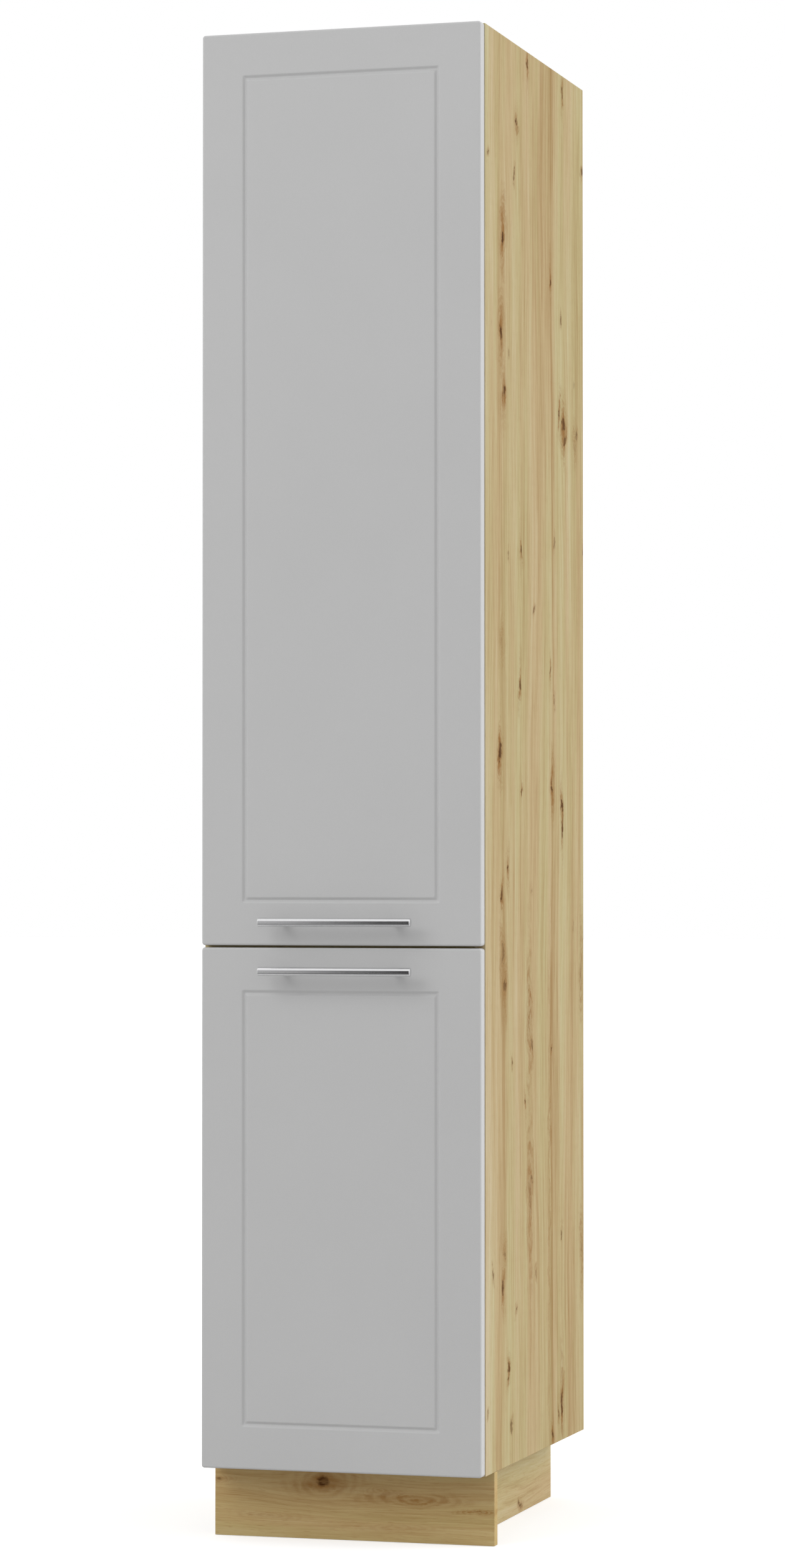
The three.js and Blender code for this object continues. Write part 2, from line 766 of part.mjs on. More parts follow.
function bracketHeightsAbove(level) {
  const { bottom, top } = frameHeights(level);
  const count = level === "lower" ? 2 : 3;
  const first = bottom + lowestBracketRise;
  const last = top - highestBracketDrop;
  return Array.from({ length: count }, (_, i) => first + ((last - first) * i) / (count - 1));
}

// Bent plate: ends flat on the back of the front, middle flat on the post.
function frontBracket(middleZ) {
  const frontY = frontBackY + seat + bracketThickness / 2;
  const postY = frameFrontY - seat - bracketThickness / 2;
  const shape = bentSheet(
    mirrored([
      [bracketWebHalfWidth, postY],
      [bracketWebHalfWidth + (postY - frontY) / 2, frontY],
      [bracketHalfWidth, frontY],
    ]),
    bracketThickness,
  );
  const plate = profileAlongZ(shape, middleZ - bracketHeight / 2, middleZ + bracketHeight / 2);
  const slots = [-1, 1].map((side) => {
    const x = side * bracketSlotPosition;
    return box(x - bracketSlotLength / 2, x + bracketSlotLength / 2, frontBackY, frontY + bracketThickness,
      middleZ - bracketSlotHeight / 2, middleZ + bracketSlotHeight / 2);
  });
  return cut(plate, ...slots);
}

function addFrame(level) {
  const { bottom, top } = frameHeights(level);
  addPiece(`${level}_front_post`, framePost(level, 1), silverPaint);
  addPiece(`${level}_rear_post`, framePost(level, -1), silverPaint);
  addPiece(`${level}_bottom_bar`, frameRail(bottom), silverPaint);
  addPiece(`${level}_top_bar`, frameRail(top - tubeDepth), silverPaint);
  bracketHeightsAbove(level).forEach((z, i) => {
    addPiece(`${level}_front_bracket_${i + 1}`, frontBracket(z), zincSteel);
  });
}

// ---------------------------------------------------------------- wire baskets

// A rounded rectangle of wire, lying flat at height z; inset is from the basket's outside.
function wireLoop(inset, z, diameter, sides) {
  const halfX = basketWidth / 2 - inset;
  const halfY = basketDepth / 2 - inset;
  const radius = basketCornerRadius - inset;
  const cornerSteps = 2;
  const points = [];
  for (const [signX, signY, start] of [[1, -1, -0.5], [1, 1, 0], [-1, 1, 0.5], [-1, -1, 1]]) {
    for (let step = 0; step <= cornerSteps; step += 1) {
      const angle = (start + (0.5 * step) / cornerSteps) * Math.PI;
      points.push(
        new THREE.Vector3(
          signX * (halfX - radius) + radius * Math.cos(angle),
          signY * (halfY - radius) + radius * Math.sin(angle),
          z,
        ),
      );
    }
  }
  return wire(points, unitZ, diameter, sides, true);
}

// A straight wire of square section, with its flats towards the wires that it is welded to.
function straightWire(from, to, diameter) {
  const along = to.clone().sub(from).normalize();
  const normal = Math.abs(along.z) > 0.5 ? unitX : unitZ;
  return wire([from, to], normal, diameter, 4);
}

// Places from -reach to reach, all the same distance apart.
function evenly(count, reach) {
  return Array.from({ length: count }, (_, i) => ((2 * i) / (count - 1) - 1) * reach);
}

// A plate on the basket's end with two hooks that drop behind the post's wall.
function hookPlate(end) {
  const inner = end * (wireLineDepth / 2 + loopWire / 2 - weld);
  const outer = inner + end * hookPlateThickness;
  const half = hookPlateWidth / 2;
  const bottom = weld;
  const top = basketHeight - 2 * weld;
  const plate = box(-half, half, Math.min(inner, outer), Math.max(inner, outer), bottom, top);
  const noseNear = outer + end * (seat + tubeWall + seat);
  const noseFar = noseNear + end * hookPlateThickness;
  const middle = inner + (end * hookPlateThickness) / 2;
  const hooks = hookHeights(0).map((z) => {
    const outline = [[middle, z], [noseNear, z], [noseNear, z - hookNose], [noseFar, z - hookNose],
      [noseFar, z + hookHeight], [middle, z + hookHeight]].map(([y, up]) => new THREE.Vector2(y, up));
    return new THREE.ExtrudeGeometry(new THREE.Shape(outline), { depth: hookWidth, bevelEnabled: false })
      .applyMatrix4(new THREE.Matrix4().makeBasis(unitY, unitZ, unitX))
      .translate(-hookWidth / 2, 0, 0);
  });
  return [plate, ...hooks];
}

function basket() {
  const rimZ = basketHeight - rimWire / 2;
  const floorZ = baseWire / 2;
  const lineX = basketWidth / 2 - rimWire / 2;
  const reachY = basketDepth / 2 - basketCornerRadius - cornerMargin;
  const floorWirePitch = (2 * reachY) / (floorWireCount - 1);
  const uprightX = lineX - (baseWire + uprightWire) * squareHalf + weld;
  const pieces = [
    wireLoop(rimWire / 2, rimZ, rimWire, 5),
    wireLoop(rimWire / 2, middleLoopHeight, loopWire, 5),
    wireLoop(rimWire / 2, floorZ, baseWire, 4),
  ];
  for (const y of evenly(floorWireCount, reachY)) {
    const right = new THREE.Vector3(lineX, y, floorZ);
    pieces.push(straightWire(new THREE.Vector3(-lineX, y, floorZ), right, floorWire));
  }
  for (const y of evenly(uprightCount, reachY - floorWirePitch / 2)) {
    for (const side of [-1, 1]) {
      const foot = new THREE.Vector3(side * uprightX, y, weld);
      const head = new THREE.Vector3(side * uprightX, y, basketHeight - weld);
      pieces.push(straightWire(foot, head, uprightWire));
    }
  }
  pieces.push(...hookPlate(-1), ...hookPlate(1));
  return join(...pieces);
}

const basketGeometry = basket();

function addBaskets(level) {
  basketFloors(level).forEach((z, i) => {
    addPiece(`${level}_basket_${i + 1}`, basketGeometry.clone(), chromeWire, [0, basketMiddleY, z]);
  });
}

// ---------------------------------------------------------------- the cabinet

addCarcass();
addPlinth();
for (const level of ["lower", "upper"]) {
  addFront(level);
  addRunner(level);
  addGuide(level);
  addFrame(level);
  addBaskets(level);
}

export default cabinet;
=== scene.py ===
"""A tall larder cabinet with two pull-outs: finishes, fronts, handles, baskets and fittings.

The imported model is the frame. Lengths are in metres, +X is to the right and +Y towards the wall.
"""

import math

import bmesh
import bpy
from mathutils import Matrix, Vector


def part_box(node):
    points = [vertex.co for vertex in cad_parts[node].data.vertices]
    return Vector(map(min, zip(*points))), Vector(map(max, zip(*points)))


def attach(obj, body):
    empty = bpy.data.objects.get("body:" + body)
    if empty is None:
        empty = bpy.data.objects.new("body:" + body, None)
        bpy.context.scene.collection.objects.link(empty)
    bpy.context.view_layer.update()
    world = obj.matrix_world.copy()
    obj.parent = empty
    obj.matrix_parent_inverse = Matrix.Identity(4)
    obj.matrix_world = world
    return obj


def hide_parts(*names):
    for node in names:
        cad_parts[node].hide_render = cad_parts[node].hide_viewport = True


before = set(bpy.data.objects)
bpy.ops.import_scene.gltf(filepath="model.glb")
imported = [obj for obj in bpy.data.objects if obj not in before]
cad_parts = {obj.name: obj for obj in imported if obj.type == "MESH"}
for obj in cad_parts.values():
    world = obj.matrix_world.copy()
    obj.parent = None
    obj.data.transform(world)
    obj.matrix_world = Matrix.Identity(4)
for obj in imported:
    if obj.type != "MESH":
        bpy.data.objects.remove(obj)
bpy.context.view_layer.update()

bl_info = {
    "name": "Larder cabinet with two pull-outs",
    "version": (1, 0, 0),
    "blender": (4, 5, 0),
    "location": "View3D > Sidebar > Larder",
    "description": "Makes the finishes, fronts, handles, baskets and fittings of a tall larder cabinet",
    "category": "Object",
}

LEVELS = ("lower", "upper")
SIDES = (("left", -1), ("right", 1))
BRACKETS = {"lower": 2, "upper": 3}
BASKETS = {"lower": 2, "upper": 4}
MM = 0.001
WHITE = (1.0, 1.0, 1.0, 1.0)


# ---- settings


def colour_setting(name, description, *levels):
    """A colour that a user may change, written as it looks on a screen, from 0 to 255."""
    colour = [level / 255 for level in levels]
    return bpy.props.FloatVectorProperty(
        name=name, description=description, default=colour, subtype="COLOR_GAMMA", min=0, max=1,
    )


def number_setting(name, description, default, **kind):
    """A number that a user may change."""
    return bpy.props.FloatProperty(name=name, description=description, default=default, **kind)


def length_setting(name, description, millimetres):
    """A length that a user may change."""
    return number_setting(name, description, millimetres * MM, subtype="DISTANCE", unit="LENGTH", precision=4)


def angle_setting(name, description, radians):
    """An angle that a user may change."""
    return number_setting(name, description, radians, subtype="ANGLE", unit="ROTATION")


class LarderFinishes(bpy.types.PropertyGroup):
    """Colours of the boards, metals and plastics."""

    oak: colour_setting("Oak", "Middle tone of the oak decor", 178, 161, 124)
    oak_dark: colour_setting("Dark oak streak", "Darker streaks of the oak decor", 147, 119, 76)
    oak_light: colour_setting("Light oak streak", "Lighter streaks of the oak decor", 192, 182, 153)
    oak_smoke: colour_setting("Smoky oak", "Brown haze round the knots", 132, 87, 34)
    oak_knot: colour_setting("Knot", "Middle of the knots", 78, 48, 20)
    foil: colour_setting("Front foil", "Matt foil on the fronts", 186, 186, 186)
    melamine: colour_setting("Front back", "White back of the fronts", 226, 226, 223)
    back_board: colour_setting("Back board", "White lacquer on the thin back boards", 224, 224, 220)
    handle_steel: colour_setting("Handle steel", "Satin steel of the handles", 234, 234, 235)
    zinc: colour_setting("Zinc", "Zinc plate on runners, guides and brackets", 170, 173, 177)
    powder_coat: colour_setting("Powder coat", "Silver-grey coat on the pull-out frames", 158, 160, 162)
    chrome: colour_setting("Chrome", "Chrome on the baskets", 212, 214, 216)
    nylon: colour_setting("Nylon", "Guide shoes and tube caps", 92, 95, 98)
    rubber: colour_setting("Rubber", "Buffers behind the fronts", 205, 206, 204)


class LarderSizes(bpy.types.PropertyGroup):
    """Sizes of the finer shapes."""

    board_edge: length_setting("Board edge", "Rounding along the boards' edges", 0.6)
    sheet_edge: length_setting("Sheet edge", "Rounding along the sheet steel's edges", 0.3)
    front_edge: length_setting("Front edge", "Rounding round each front's face", 3)
    front_corner: length_setting("Front corner", "Rounding of each front's corners", 4)
    groove_inset: length_setting("Groove inset", "Front's edge to the middle of its groove", 62)
    groove_width: length_setting("Groove width", "Width of the routed groove", 9)
    groove_depth: length_setting("Groove depth", "Depth of the routed groove", 2.5)
    groove_corner: length_setting("Groove corner", "Rounding of the groove's corners", 2.5)
    bar_chamfer: length_setting("Bar rounding", "Rounding at each end of a handle bar", 0.8)
    frame_wall: length_setting("Tube wall", "Wall of the frame tube", 1.5)
    tube_corner: length_setting("Tube corner", "Outer rounding of the frame tube", 2.5)
    rim_wire: length_setting("Rim wire", "Basket's top wire", 6)
    loop_wire: length_setting("Loop wire", "Basket's wire at half height", 5)
    floor_wire: length_setting("Floor wire", "Basket's thin wires", 3.4)
    basket_corner: length_setting("Basket corner", "Rounding of the basket's corners", 24)
    ball_radius: length_setting("Ball radius", "Balls in the runners", 3)
    nail_spacing: length_setting("Nail spacing", "Distance between the back boards' nails", 120)


class LarderStage(bpy.types.PropertyGroup):
    """Camera and light."""

    camera_place: bpy.props.FloatVectorProperty(
        name="Camera place", description="Where the camera stands", default=(1.8096, -6.1943, 0.9067),
        subtype="TRANSLATION", unit="LENGTH",
    )
    camera_turn: angle_setting("Camera turn", "Turn to the left of the cabinet's depth", 0.2848)
    camera_rise: angle_setting("Camera rise", "Upward tilt of the camera", 0.0209)
    lens: number_setting("Lens", "Focal length on a 36 mm sensor", 104.44, unit="CAMERA")
    sky: number_setting("Sky light", "Even light from all round", 0.72, min=0)
    key: number_setting("Key light", "Power of the soft lamp at the upper left", 385, min=0, unit="POWER")
    left_fill: number_setting("Left fill", "Strength of the light from the left", 0.2, min=0)
    right_fill: number_setting("Right fill", "Strength of the light from the right and behind", 2.1, min=0)


# ---- node trees


class Nodes:
    """Short ways to add nodes to one tree."""

    def __init__(self, tree):
        self.tree = tree

    def add(self, kind, inputs=(), **settings):
        """Adds a node with its settings; its inputs, by name or number, are linked or given a value."""
        node = self.tree.nodes.new(kind)
        for name, value in settings.items():
            setattr(node, name, value)
        for name, value in dict(inputs).items():
            if isinstance(value, bpy.types.NodeSocket):
                self.tree.links.new(value, node.inputs[name])
            else:
                node.inputs[name].default_value = value
        return node

    def math(self, operation, *values):
        """One sum on numbers."""
        return self.add("ShaderNodeMath", enumerate(values), operation=operation).outputs[0]

    def times(self, first, second):
        """The product of two numbers."""
        return self.math("MULTIPLY", first, second)

    def vector(self, operation, *values):
        """One sum on vectors; lengths come out as a number."""
        node = self.add("ShaderNodeVectorMath", enumerate(values), operation=operation)
        return node.outputs["Value" if operation in ("LENGTH", "DISTANCE") else "Vector"]

    def parts(self, vector):
        """The three numbers of a vector."""
        return self.add("ShaderNodeSeparateXYZ", {0: vector}).outputs[:3]

    def joined(self, x, y, z):
        """A vector of three numbers."""
        return self.add("ShaderNodeCombineXYZ", {0: x, 1: y, 2: z}).outputs[0]

    def noise(self, vector, stretch=None, scale=1.0, detail=2.0, roughness=0.5):
        """Soft noise from 0 to 1 over a vector, whose three parts may be stretched first."""
        if stretch:
            vector = self.vector("MULTIPLY", vector, stretch)
        inputs = {"Vector": vector, "Scale": scale, "Detail": detail, "Roughness": roughness}
        return self.add("ShaderNodeTexNoise", inputs).outputs[0]

    def spread(self, value, low, high, to_low=0.0, to_high=1.0):
        """Maps low to high smoothly onto to_low to to_high."""
        inputs = {0: value, 1: low, 2: high, 3: to_low, 4: to_high}
        return self.add("ShaderNodeMapRange", inputs, interpolation_type="SMOOTHSTEP").outputs[0]

    def mix(self, factor, first, second, blend="MIX"):
        """Mixes two colours."""
        inputs = {0: factor, 6: first, 7: second}
        return self.add("ShaderNodeMix", inputs, data_type="RGBA", blend_type=blend).outputs[2]

    def bump(self, height, distance, strength=1.0):
        """A normal from a height."""
        inputs = {"Height": height, "Distance": distance, "Strength": strength}
        return self.add("ShaderNodeBump", inputs).outputs[0]

    def place(self):
        """Where a point is at rest, in metres."""
        return self.add("ShaderNodeTexCoord").outputs["Object"]

    def surface(self, **sockets):
        """The shader and the output; names have underscores for spaces."""
        shader = self.add("ShaderNodeBsdfPrincipled", {n.replace("_", " "): v for n, v in sockets.items()})
        self.output(shader.outputs[0])

    def glow(self, strength):
        """White light of its own."""
        return self.add("ShaderNodeEmission", {"Color": WHITE, "Strength": strength}).outputs[0]

    def output(self, shader):
        """Ends the material's tree."""
        self.add("ShaderNodeOutputMaterial", {0: shader})


def linear(colour):
    """A screen colour as a shader wants it."""
    channels = [c / 12.92 if c <= 0.04045 else ((c + 0.055) / 1.055) ** 2.4 for c in colour]
    return (*channels, 1.0)


def shaded(colour, *factors):
    """A colour with its channels multiplied, all by one factor or each by its own, up to full strength."""
    factors = factors * 3 if len(factors) == 1 else factors
    return [*(min(channel * factor, 1.0) for channel, factor in zip(colour, factors)), 1.0]


def new_material(name):
    """A material with an empty node tree."""
    material = bpy.data.materials.new(name)
    material.use_nodes = True
    material.node_tree.nodes.clear()
    return material, Nodes(material.node_tree)


# ---- oak decor

# How a board's grain lies: the axes across the grain, through the board and along the grain.
GRAINS = {
    "upright": (1, 0, 2),
    "crosswise": (1, 2, 0),
    "kick": (2, 1, 0),
    "kick_side": (2, 0, 1),
}

# The larger knots on the right side, in millimetres: across and up the board, half width, half height,
# how dark the middle is and how strong the brown haze round it is.
SIDE_KNOTS = (
    (-25, 2045, 5, 14, 0.8, 0.3), (180, 2040, 6, 9, 0.8, 0.4), (-80, 1955, 6, 8, 0.8, 0.4),
    (-155, 1795, 11, 16, 1, 0.9), (105, 1765, 6, 12, 0.9, 0.5), (-165, 1660, 9, 16, 1, 0.9),
    (-155, 1575, 8, 13, 1, 0.6), (160, 1575, 6, 10, 0.9, 0.5), (185, 1560, 10, 12, 1, 0.9),
    (190, 1540, 6, 10, 0.9, 0.5), (250, 1540, 7, 10, 0.2, 0.7), (-60, 1365, 6, 9, 0.9, 0.5),
    (295, 1385, 5, 6, 0.7, 0.5), (-160, 1230, 8, 9, 0.1, 0.7), (-65, 1180, 6, 11, 0.9, 0.5),
    (110, 1200, 5, 7, 0.8, 0.4), (-170, 1080, 7, 13, 1, 0.9), (120, 1040, 7, 12, 1, 0.9),
    (175, 1010, 7, 10, 1, 0.6), (175, 985, 5, 19, 0.9, 0.5), (-60, 1030, 5, 6, 0.8, 0.3),
    (-130, 920, 7, 9, 0.9, 0.7), (-160, 890, 6, 7, 0.9, 0.4), (-160, 805, 8, 13, 0.4, 0.7),
    (-150, 755, 8, 11, 0.7, 0.8), (-12, 710, 8, 34, 0.1, 1), (-5, 675, 6, 13, 0.7, 0.7),
    (115, 660, 5, 5, 0.9, 0.3), (290, 775, 8, 20, 0.2, 0.8), (-35, 590, 5, 6, 0.8, 0.4),
    (-5, 490, 6, 7, 0.8, 0.6), (-10, 460, 8, 36, 0.2, 1), (290, 365, 7, 17, 0.2, 0.8),
    (-150, 395, 7, 7, 0.5, 0.7), (-155, 345, 7, 10, 0.8, 0.7), (-130, 230, 6, 8, 0.9, 0.5),
    (175, 155, 7, 24, 1, 0.8), (155, 145, 6, 11, 0.8, 0.4), (115, 110, 6, 9, 0.9, 0.4),
    (100, 500, 3, 90, 0, 0.6),
)

# The left side has every second knot of the right side, mirrored and turned over: sums of both places.
LEFT_FLIP = (45, 2170)

# Bands up the right side: middle and half width in millimetres, and how much they lighten it; the first is a
# painted highlight along the front edge, the others are darker streaks.
SIDE_LIT_BAND_AND_STREAKS = ((-240, 40, 0.22), (-163, 20, -0.17), (118, 12, -0.08), (116, 4, -0.22))

# Knots on the plinth's front: along and up the board, then as above.
KICK_KNOTS = (
    (-43, 77, 15, 10, 1, 0.75), (88, 60, 22, 5, 0, 0.85), (40, 66, 9, 3, 0, 0.4),
    (178, 46, 9, 2.2, 0.25, 0.9), (-196, 78, 6, 3, 0.5, 0.6), (-120, 30, 16, 3, 0, 0.35),
    (60, 22, 18, 3, 0, 0.3),
)


def knot_group():
    """A group that adds one knot: the grain parts round it, and its dark middle and haze add up."""
    tree = bpy.data.node_groups.new("knot", "ShaderNodeTree")
    for in_out, kind, names in (
        ("INPUT", "NodeSocketVector", ("Place", "Middle", "Reach")),
        ("INPUT", "NodeSocketFloat", ("Dark", "Haze", "Darkness", "Haziness")),
        ("OUTPUT", "NodeSocketVector", ("Place",)),
        ("OUTPUT", "NodeSocketFloat", ("Dark", "Haze")),
    ):
        for name in names:
            tree.interface.new_socket(name, in_out=in_out, socket_type=kind)
    nodes = Nodes(tree)
    given = nodes.add("NodeGroupInput").outputs
    offset = nodes.vector("SUBTRACT", given["Place"], given["Middle"])
    near = nodes.vector("DIVIDE", offset, given["Reach"])
    distance = nodes.vector("LENGTH", near)
    tall = nodes.vector("LENGTH", nodes.vector("MULTIPLY", near, (1.0, 0.0, 0.5)))
    core = nodes.times(nodes.spread(distance, 0.9, 0.45), given["Darkness"])
    rim = nodes.times(nodes.spread(tall, 1.5, 0.5), given["Darkness"])
    far = nodes.vector("LENGTH", nodes.vector("MULTIPLY", near, (0.36, 0.0, 0.17)))
    rings = nodes.math("MULTIPLY_ADD", nodes.math("SINE", nodes.times(distance, 7.0)), 0.3, 0.7)
    haze = nodes.times(nodes.times(nodes.spread(far, 1.0, 0.1), given["Haziness"]), rings)
    haze = nodes.math("MAXIMUM", haze, rim)
    push = nodes.times(nodes.spread(far, 1.5, 0.2), given["Haziness"])
    shift = nodes.vector("MULTIPLY", offset, nodes.joined(nodes.times(push, 0.62), 0.0, 0.0))
    nodes.add("NodeGroupOutput", {
        0: nodes.vector("SUBTRACT", given["Place"], shift),
        1: nodes.math("MAXIMUM", given["Dark"], core),
        2: nodes.math("MAXIMUM", given["Haze"], haze),
    })
    return tree


def oak_specks(nodes, place):
    """Darkness and haze of small specks, strewn at random over a board."""
    across, _, along = nodes.parts(place)
    flat = nodes.joined(nodes.times(across, 8.0), nodes.times(along, 4.5), 0.0)
    inputs = {"Vector": flat, "Scale": 1.0}
    cells = nodes.add("ShaderNodeTexVoronoi", inputs, voronoi_dimensions="2D").outputs
    chance = nodes.spread(nodes.parts(cells["Color"])[0], 0.45, 0.75)
    dark = nodes.times(nodes.spread(cells["Distance"], 0.036, 0.014), chance)
    haze = nodes.times(nodes.spread(cells["Distance"], 0.085, 0.02), nodes.times(chance, 0.5))
    return nodes.times(dark, 0.75), haze


def oak(name, grain, finishes, group, knots=(), lit_band_and_streaks=(), seed=0.0, tint_and_painted_light=WHITE, figure=1.0,
        rough=1.0, specks=True):
    """Pale oak decor with wandering streaks, fine pores, and listed knots and bands up the board.

    Figure scales the streaks' contrast, and rough how ragged the knots are. The tint multiplies the colour;
    above 1 it is painted light, brightening a board in place of light it lacks.
    """
    _, nodes = new_material(name)
    xyz = nodes.parts(nodes.place())
    board = nodes.joined(*(xyz[axis] for axis in GRAINS[grain]))
    away = (seed, seed * 0.7, seed * 1.3)
    seeded = nodes.vector("ADD", board, away)

    # Knots bend the grain near them, lean to one side and have ragged edges.
    place = board
    shifts = []
    for scale, detail, across, along in ((26.0, 0.0, 0.026, 0.03), (170.0, 2.0, 0.011, 0.026)):
        inputs = {"Vector": seeded, "Scale": scale, "Detail": detail}
        shift = nodes.add("ShaderNodeTexNoise", inputs).outputs["Color"]
        shift = nodes.vector("SUBTRACT", shift, (0.5, 0.5, 0.5))
        shifts.append(nodes.vector("MULTIPLY", shift, (across * rough, 0.0, along * rough)))
        place = nodes.vector("ADD", place, shifts[-1])
    dark, haze = oak_specks(nodes, nodes.vector("ADD", place, away)) if specks else (0.0, 0.0)
    for across, along, half_width, half_length, darkness, haziness in knots:
        inputs = {
            "Place": place, "Middle": (across * MM, 0.0, along * MM),
            "Reach": (half_width * MM, 1.0, half_length * MM),
            "Dark": dark, "Haze": haze, "Darkness": darkness, "Haziness": haziness,
        }
        place, dark, haze = nodes.add("ShaderNodeGroup", inputs, node_tree=group).outputs
    bent = place
    for shift in shifts:
        bent = nodes.vector("SUBTRACT", bent, shift)
    bent = nodes.vector("ADD", bent, away)

    # The grain sways widely, and a little within that.
    for turns, reach in (((5.0, 5.0, 1.6), 0.022), ((26.0, 26.0, 6.0), 0.0045)):
        sway = nodes.math("SUBTRACT", nodes.noise(bent, turns, detail=1.0), 0.5)
        bent = nodes.vector("ADD", bent, nodes.joined(nodes.times(sway, reach * 2), 0.0, 0.0))

    # Bands, streaks and fibres: scale across and along, detail, roughness and strength.
    tone = 0.5
    layers = []
    for across, along, detail, roughness, strength in (
        (27.0, 1.3, 2.0, 0.5, 0.85 * figure),
        (125.0, 4.2, 3.0, 0.62, 0.95 * figure),
        (520.0, 15.0, 2.0, 0.6, 0.62),
    ):
        layers.append(nodes.noise(bent, (across, across, along), detail=detail, roughness=roughness))
        tone = nodes.math("MULTIPLY_ADD", nodes.math("SUBTRACT", layers[-1], 0.5), strength, tone)
    _, streaks, fibres = layers
    pores = nodes.spread(nodes.noise(bent, (1400.0, 1400.0, 60.0), detail=1.0), 0.60, 0.76)
    # Bands up the board; on the right side the lighter one is a painted highlight along the front edge.
    for middle, half_width, change in lit_band_and_streaks:
        beside = nodes.math("ABSOLUTE", nodes.math("SUBTRACT", nodes.parts(bent)[0], seed + middle * MM))
        band_change = nodes.spread(beside, half_width * MM * 1.4, half_width * MM * 0.4, 0.0, change)
        tone = nodes.math("ADD", tone, band_change)
    ramp = nodes.add("ShaderNodeValToRGB", {0: tone})
    ramp.color_ramp.elements[0].color = linear(finishes.oak_dark)
    ramp.color_ramp.elements[1].color = linear(finishes.oak_light)
    ramp.color_ramp.elements.new(0.5).color = linear(finishes.oak)
    hue = nodes.spread(nodes.noise(bent, (20.0, 20.0, 1.2), detail=3.0), 0.36, 0.66)
    warm = nodes.mix(hue, (1.0, 0.945, 0.9, 1.0), (0.975, 1.0, 0.91, 1.0))
    wood = nodes.mix(1.0, ramp.outputs[0], warm, "MULTIPLY")
    wood = nodes.mix(nodes.times(pores, 0.34), wood, linear(finishes.oak_smoke))
    patchy = nodes.spread(streaks, 0.28, 0.6, 0.35, 1.0)
    wood = nodes.mix(nodes.times(nodes.times(haze, patchy), 0.85), wood, linear(finishes.oak_smoke))
    cracks = nodes.spread(nodes.noise(seeded, (260.0, 260.0, 90.0), detail=1.0), 0.35, 0.6, 0.6, 1.0)
    wood = nodes.mix(nodes.times(dark, cracks), wood, linear(finishes.oak_knot))
    # The tint multiplies the colour; above 1 it is painted light.
    nodes.surface(
        Base_Color=nodes.mix(1.0, wood, tint_and_painted_light, "MULTIPLY"),
        Roughness=nodes.spread(streaks, 0.2, 0.8, 0.66, 0.78),
        IOR=1.46,
        Specular_IOR_Level=0.04,
        Normal=nodes.bump(nodes.math("SUBTRACT", fibres, nodes.times(pores, 0.8)), 0.00012, 0.35),
    )


# ---- other finishes


def board_finish(name, colour, grain_size, depth, roughness):
    """A painted or foiled board: an even colour with a faint texture in its skin."""
    _, nodes = new_material(name)
    place = nodes.place()
    skin = nodes.noise(place, scale=1 / grain_size)
    cloud = nodes.spread(nodes.noise(place, scale=6.0), 0.3, 0.7)
    shade = nodes.mix(cloud, shaded(colour, 0.985), colour)
    nodes.surface(
        Base_Color=nodes.mix(nodes.spread(skin, 0.25, 0.75, 0.0, 0.03), shade, WHITE),
        Roughness=nodes.spread(skin, 0.2, 0.8, roughness - 0.04, roughness + 0.04),
        IOR=1.46,
        Normal=nodes.bump(skin, depth, 0.5),
    )


def brushed_finish(name, colour, axis, roughness):
    """Steel with fine lines along one axis."""
    _, nodes = new_material(name)
    stretch = [2600.0, 2600.0, 2600.0]
    stretch[axis] = 14.0
    lines = nodes.noise(nodes.place(), stretch, detail=3.0, roughness=0.65)
    cloud = nodes.noise(nodes.place(), scale=30.0, detail=1.0)
    rough = nodes.spread(lines, 0.2, 0.8, roughness - 0.05, roughness + 0.05)
    nodes.surface(
        Base_Color=nodes.mix(nodes.spread(lines, 0.25, 0.75), shaded(colour, 0.88), colour),
        Metallic=1.0,
        Roughness=nodes.math("ADD", rough, nodes.spread(cloud, 0.3, 0.7, -0.015, 0.015)),
        Normal=nodes.bump(lines, 0.00001, 0.25),
    )


def zinc_finish(name, colour):
    """Zinc plate: a cloudy bluish skin with faint rolling lines along the sheet."""
    _, nodes = new_material(name)
    place = nodes.place()
    cloud = nodes.noise(place, scale=70.0, detail=3.0, roughness=0.6)
    lines = nodes.noise(place, (1200.0, 12.0, 1200.0))
    rough = nodes.spread(cloud, 0.3, 0.7, 0.42, 0.3)
    nodes.surface(
        Base_Color=nodes.mix(nodes.spread(cloud, 0.3, 0.7), shaded(colour, 0.72, 0.74, 0.78), colour),
        Metallic=1.0,
        Roughness=nodes.math("ADD", rough, nodes.spread(lines, 0.2, 0.8, -0.04, 0.04)),
        Normal=nodes.bump(lines, 0.000015, 0.3),
    )


def powder_finish(name, colour):
    """Powder coat: fine orange peel with metal flakes in it."""
    _, nodes = new_material(name)
    place = nodes.place()
    peel = nodes.noise(place, scale=900.0, detail=1.0)
    flakes = nodes.add("ShaderNodeTexVoronoi", {"Vector": place, "Scale": 3200.0}).outputs["Color"]
    flake = nodes.parts(flakes)[0]
    nodes.surface(
        Base_Color=nodes.mix(nodes.spread(flake, 0.7, 1.0, 0.0, 0.8), colour, shaded(colour, 1.35)),
        Metallic=0.45,
        Roughness=nodes.spread(flake, 0.2, 0.9, 0.5, 0.36),
        Normal=nodes.bump(peel, 0.00004, 0.4),
    )


def chrome_finish(name, colour, roughness):
    """Bright plate with slight unevenness under it."""
    _, nodes = new_material(name)
    place = nodes.place()
    ripple = nodes.noise(place, scale=260.0)
    haze = nodes.noise(place, scale=40.0, detail=3.0)
    nodes.surface(
        Base_Color=nodes.mix(nodes.spread(haze, 0.35, 0.65), shaded(colour, 0.9), colour),
        Metallic=1.0,
        Roughness=nodes.spread(haze, 0.3, 0.7, roughness, roughness + 0.06),
        Normal=nodes.bump(ripple, 0.00002, 0.2),
    )


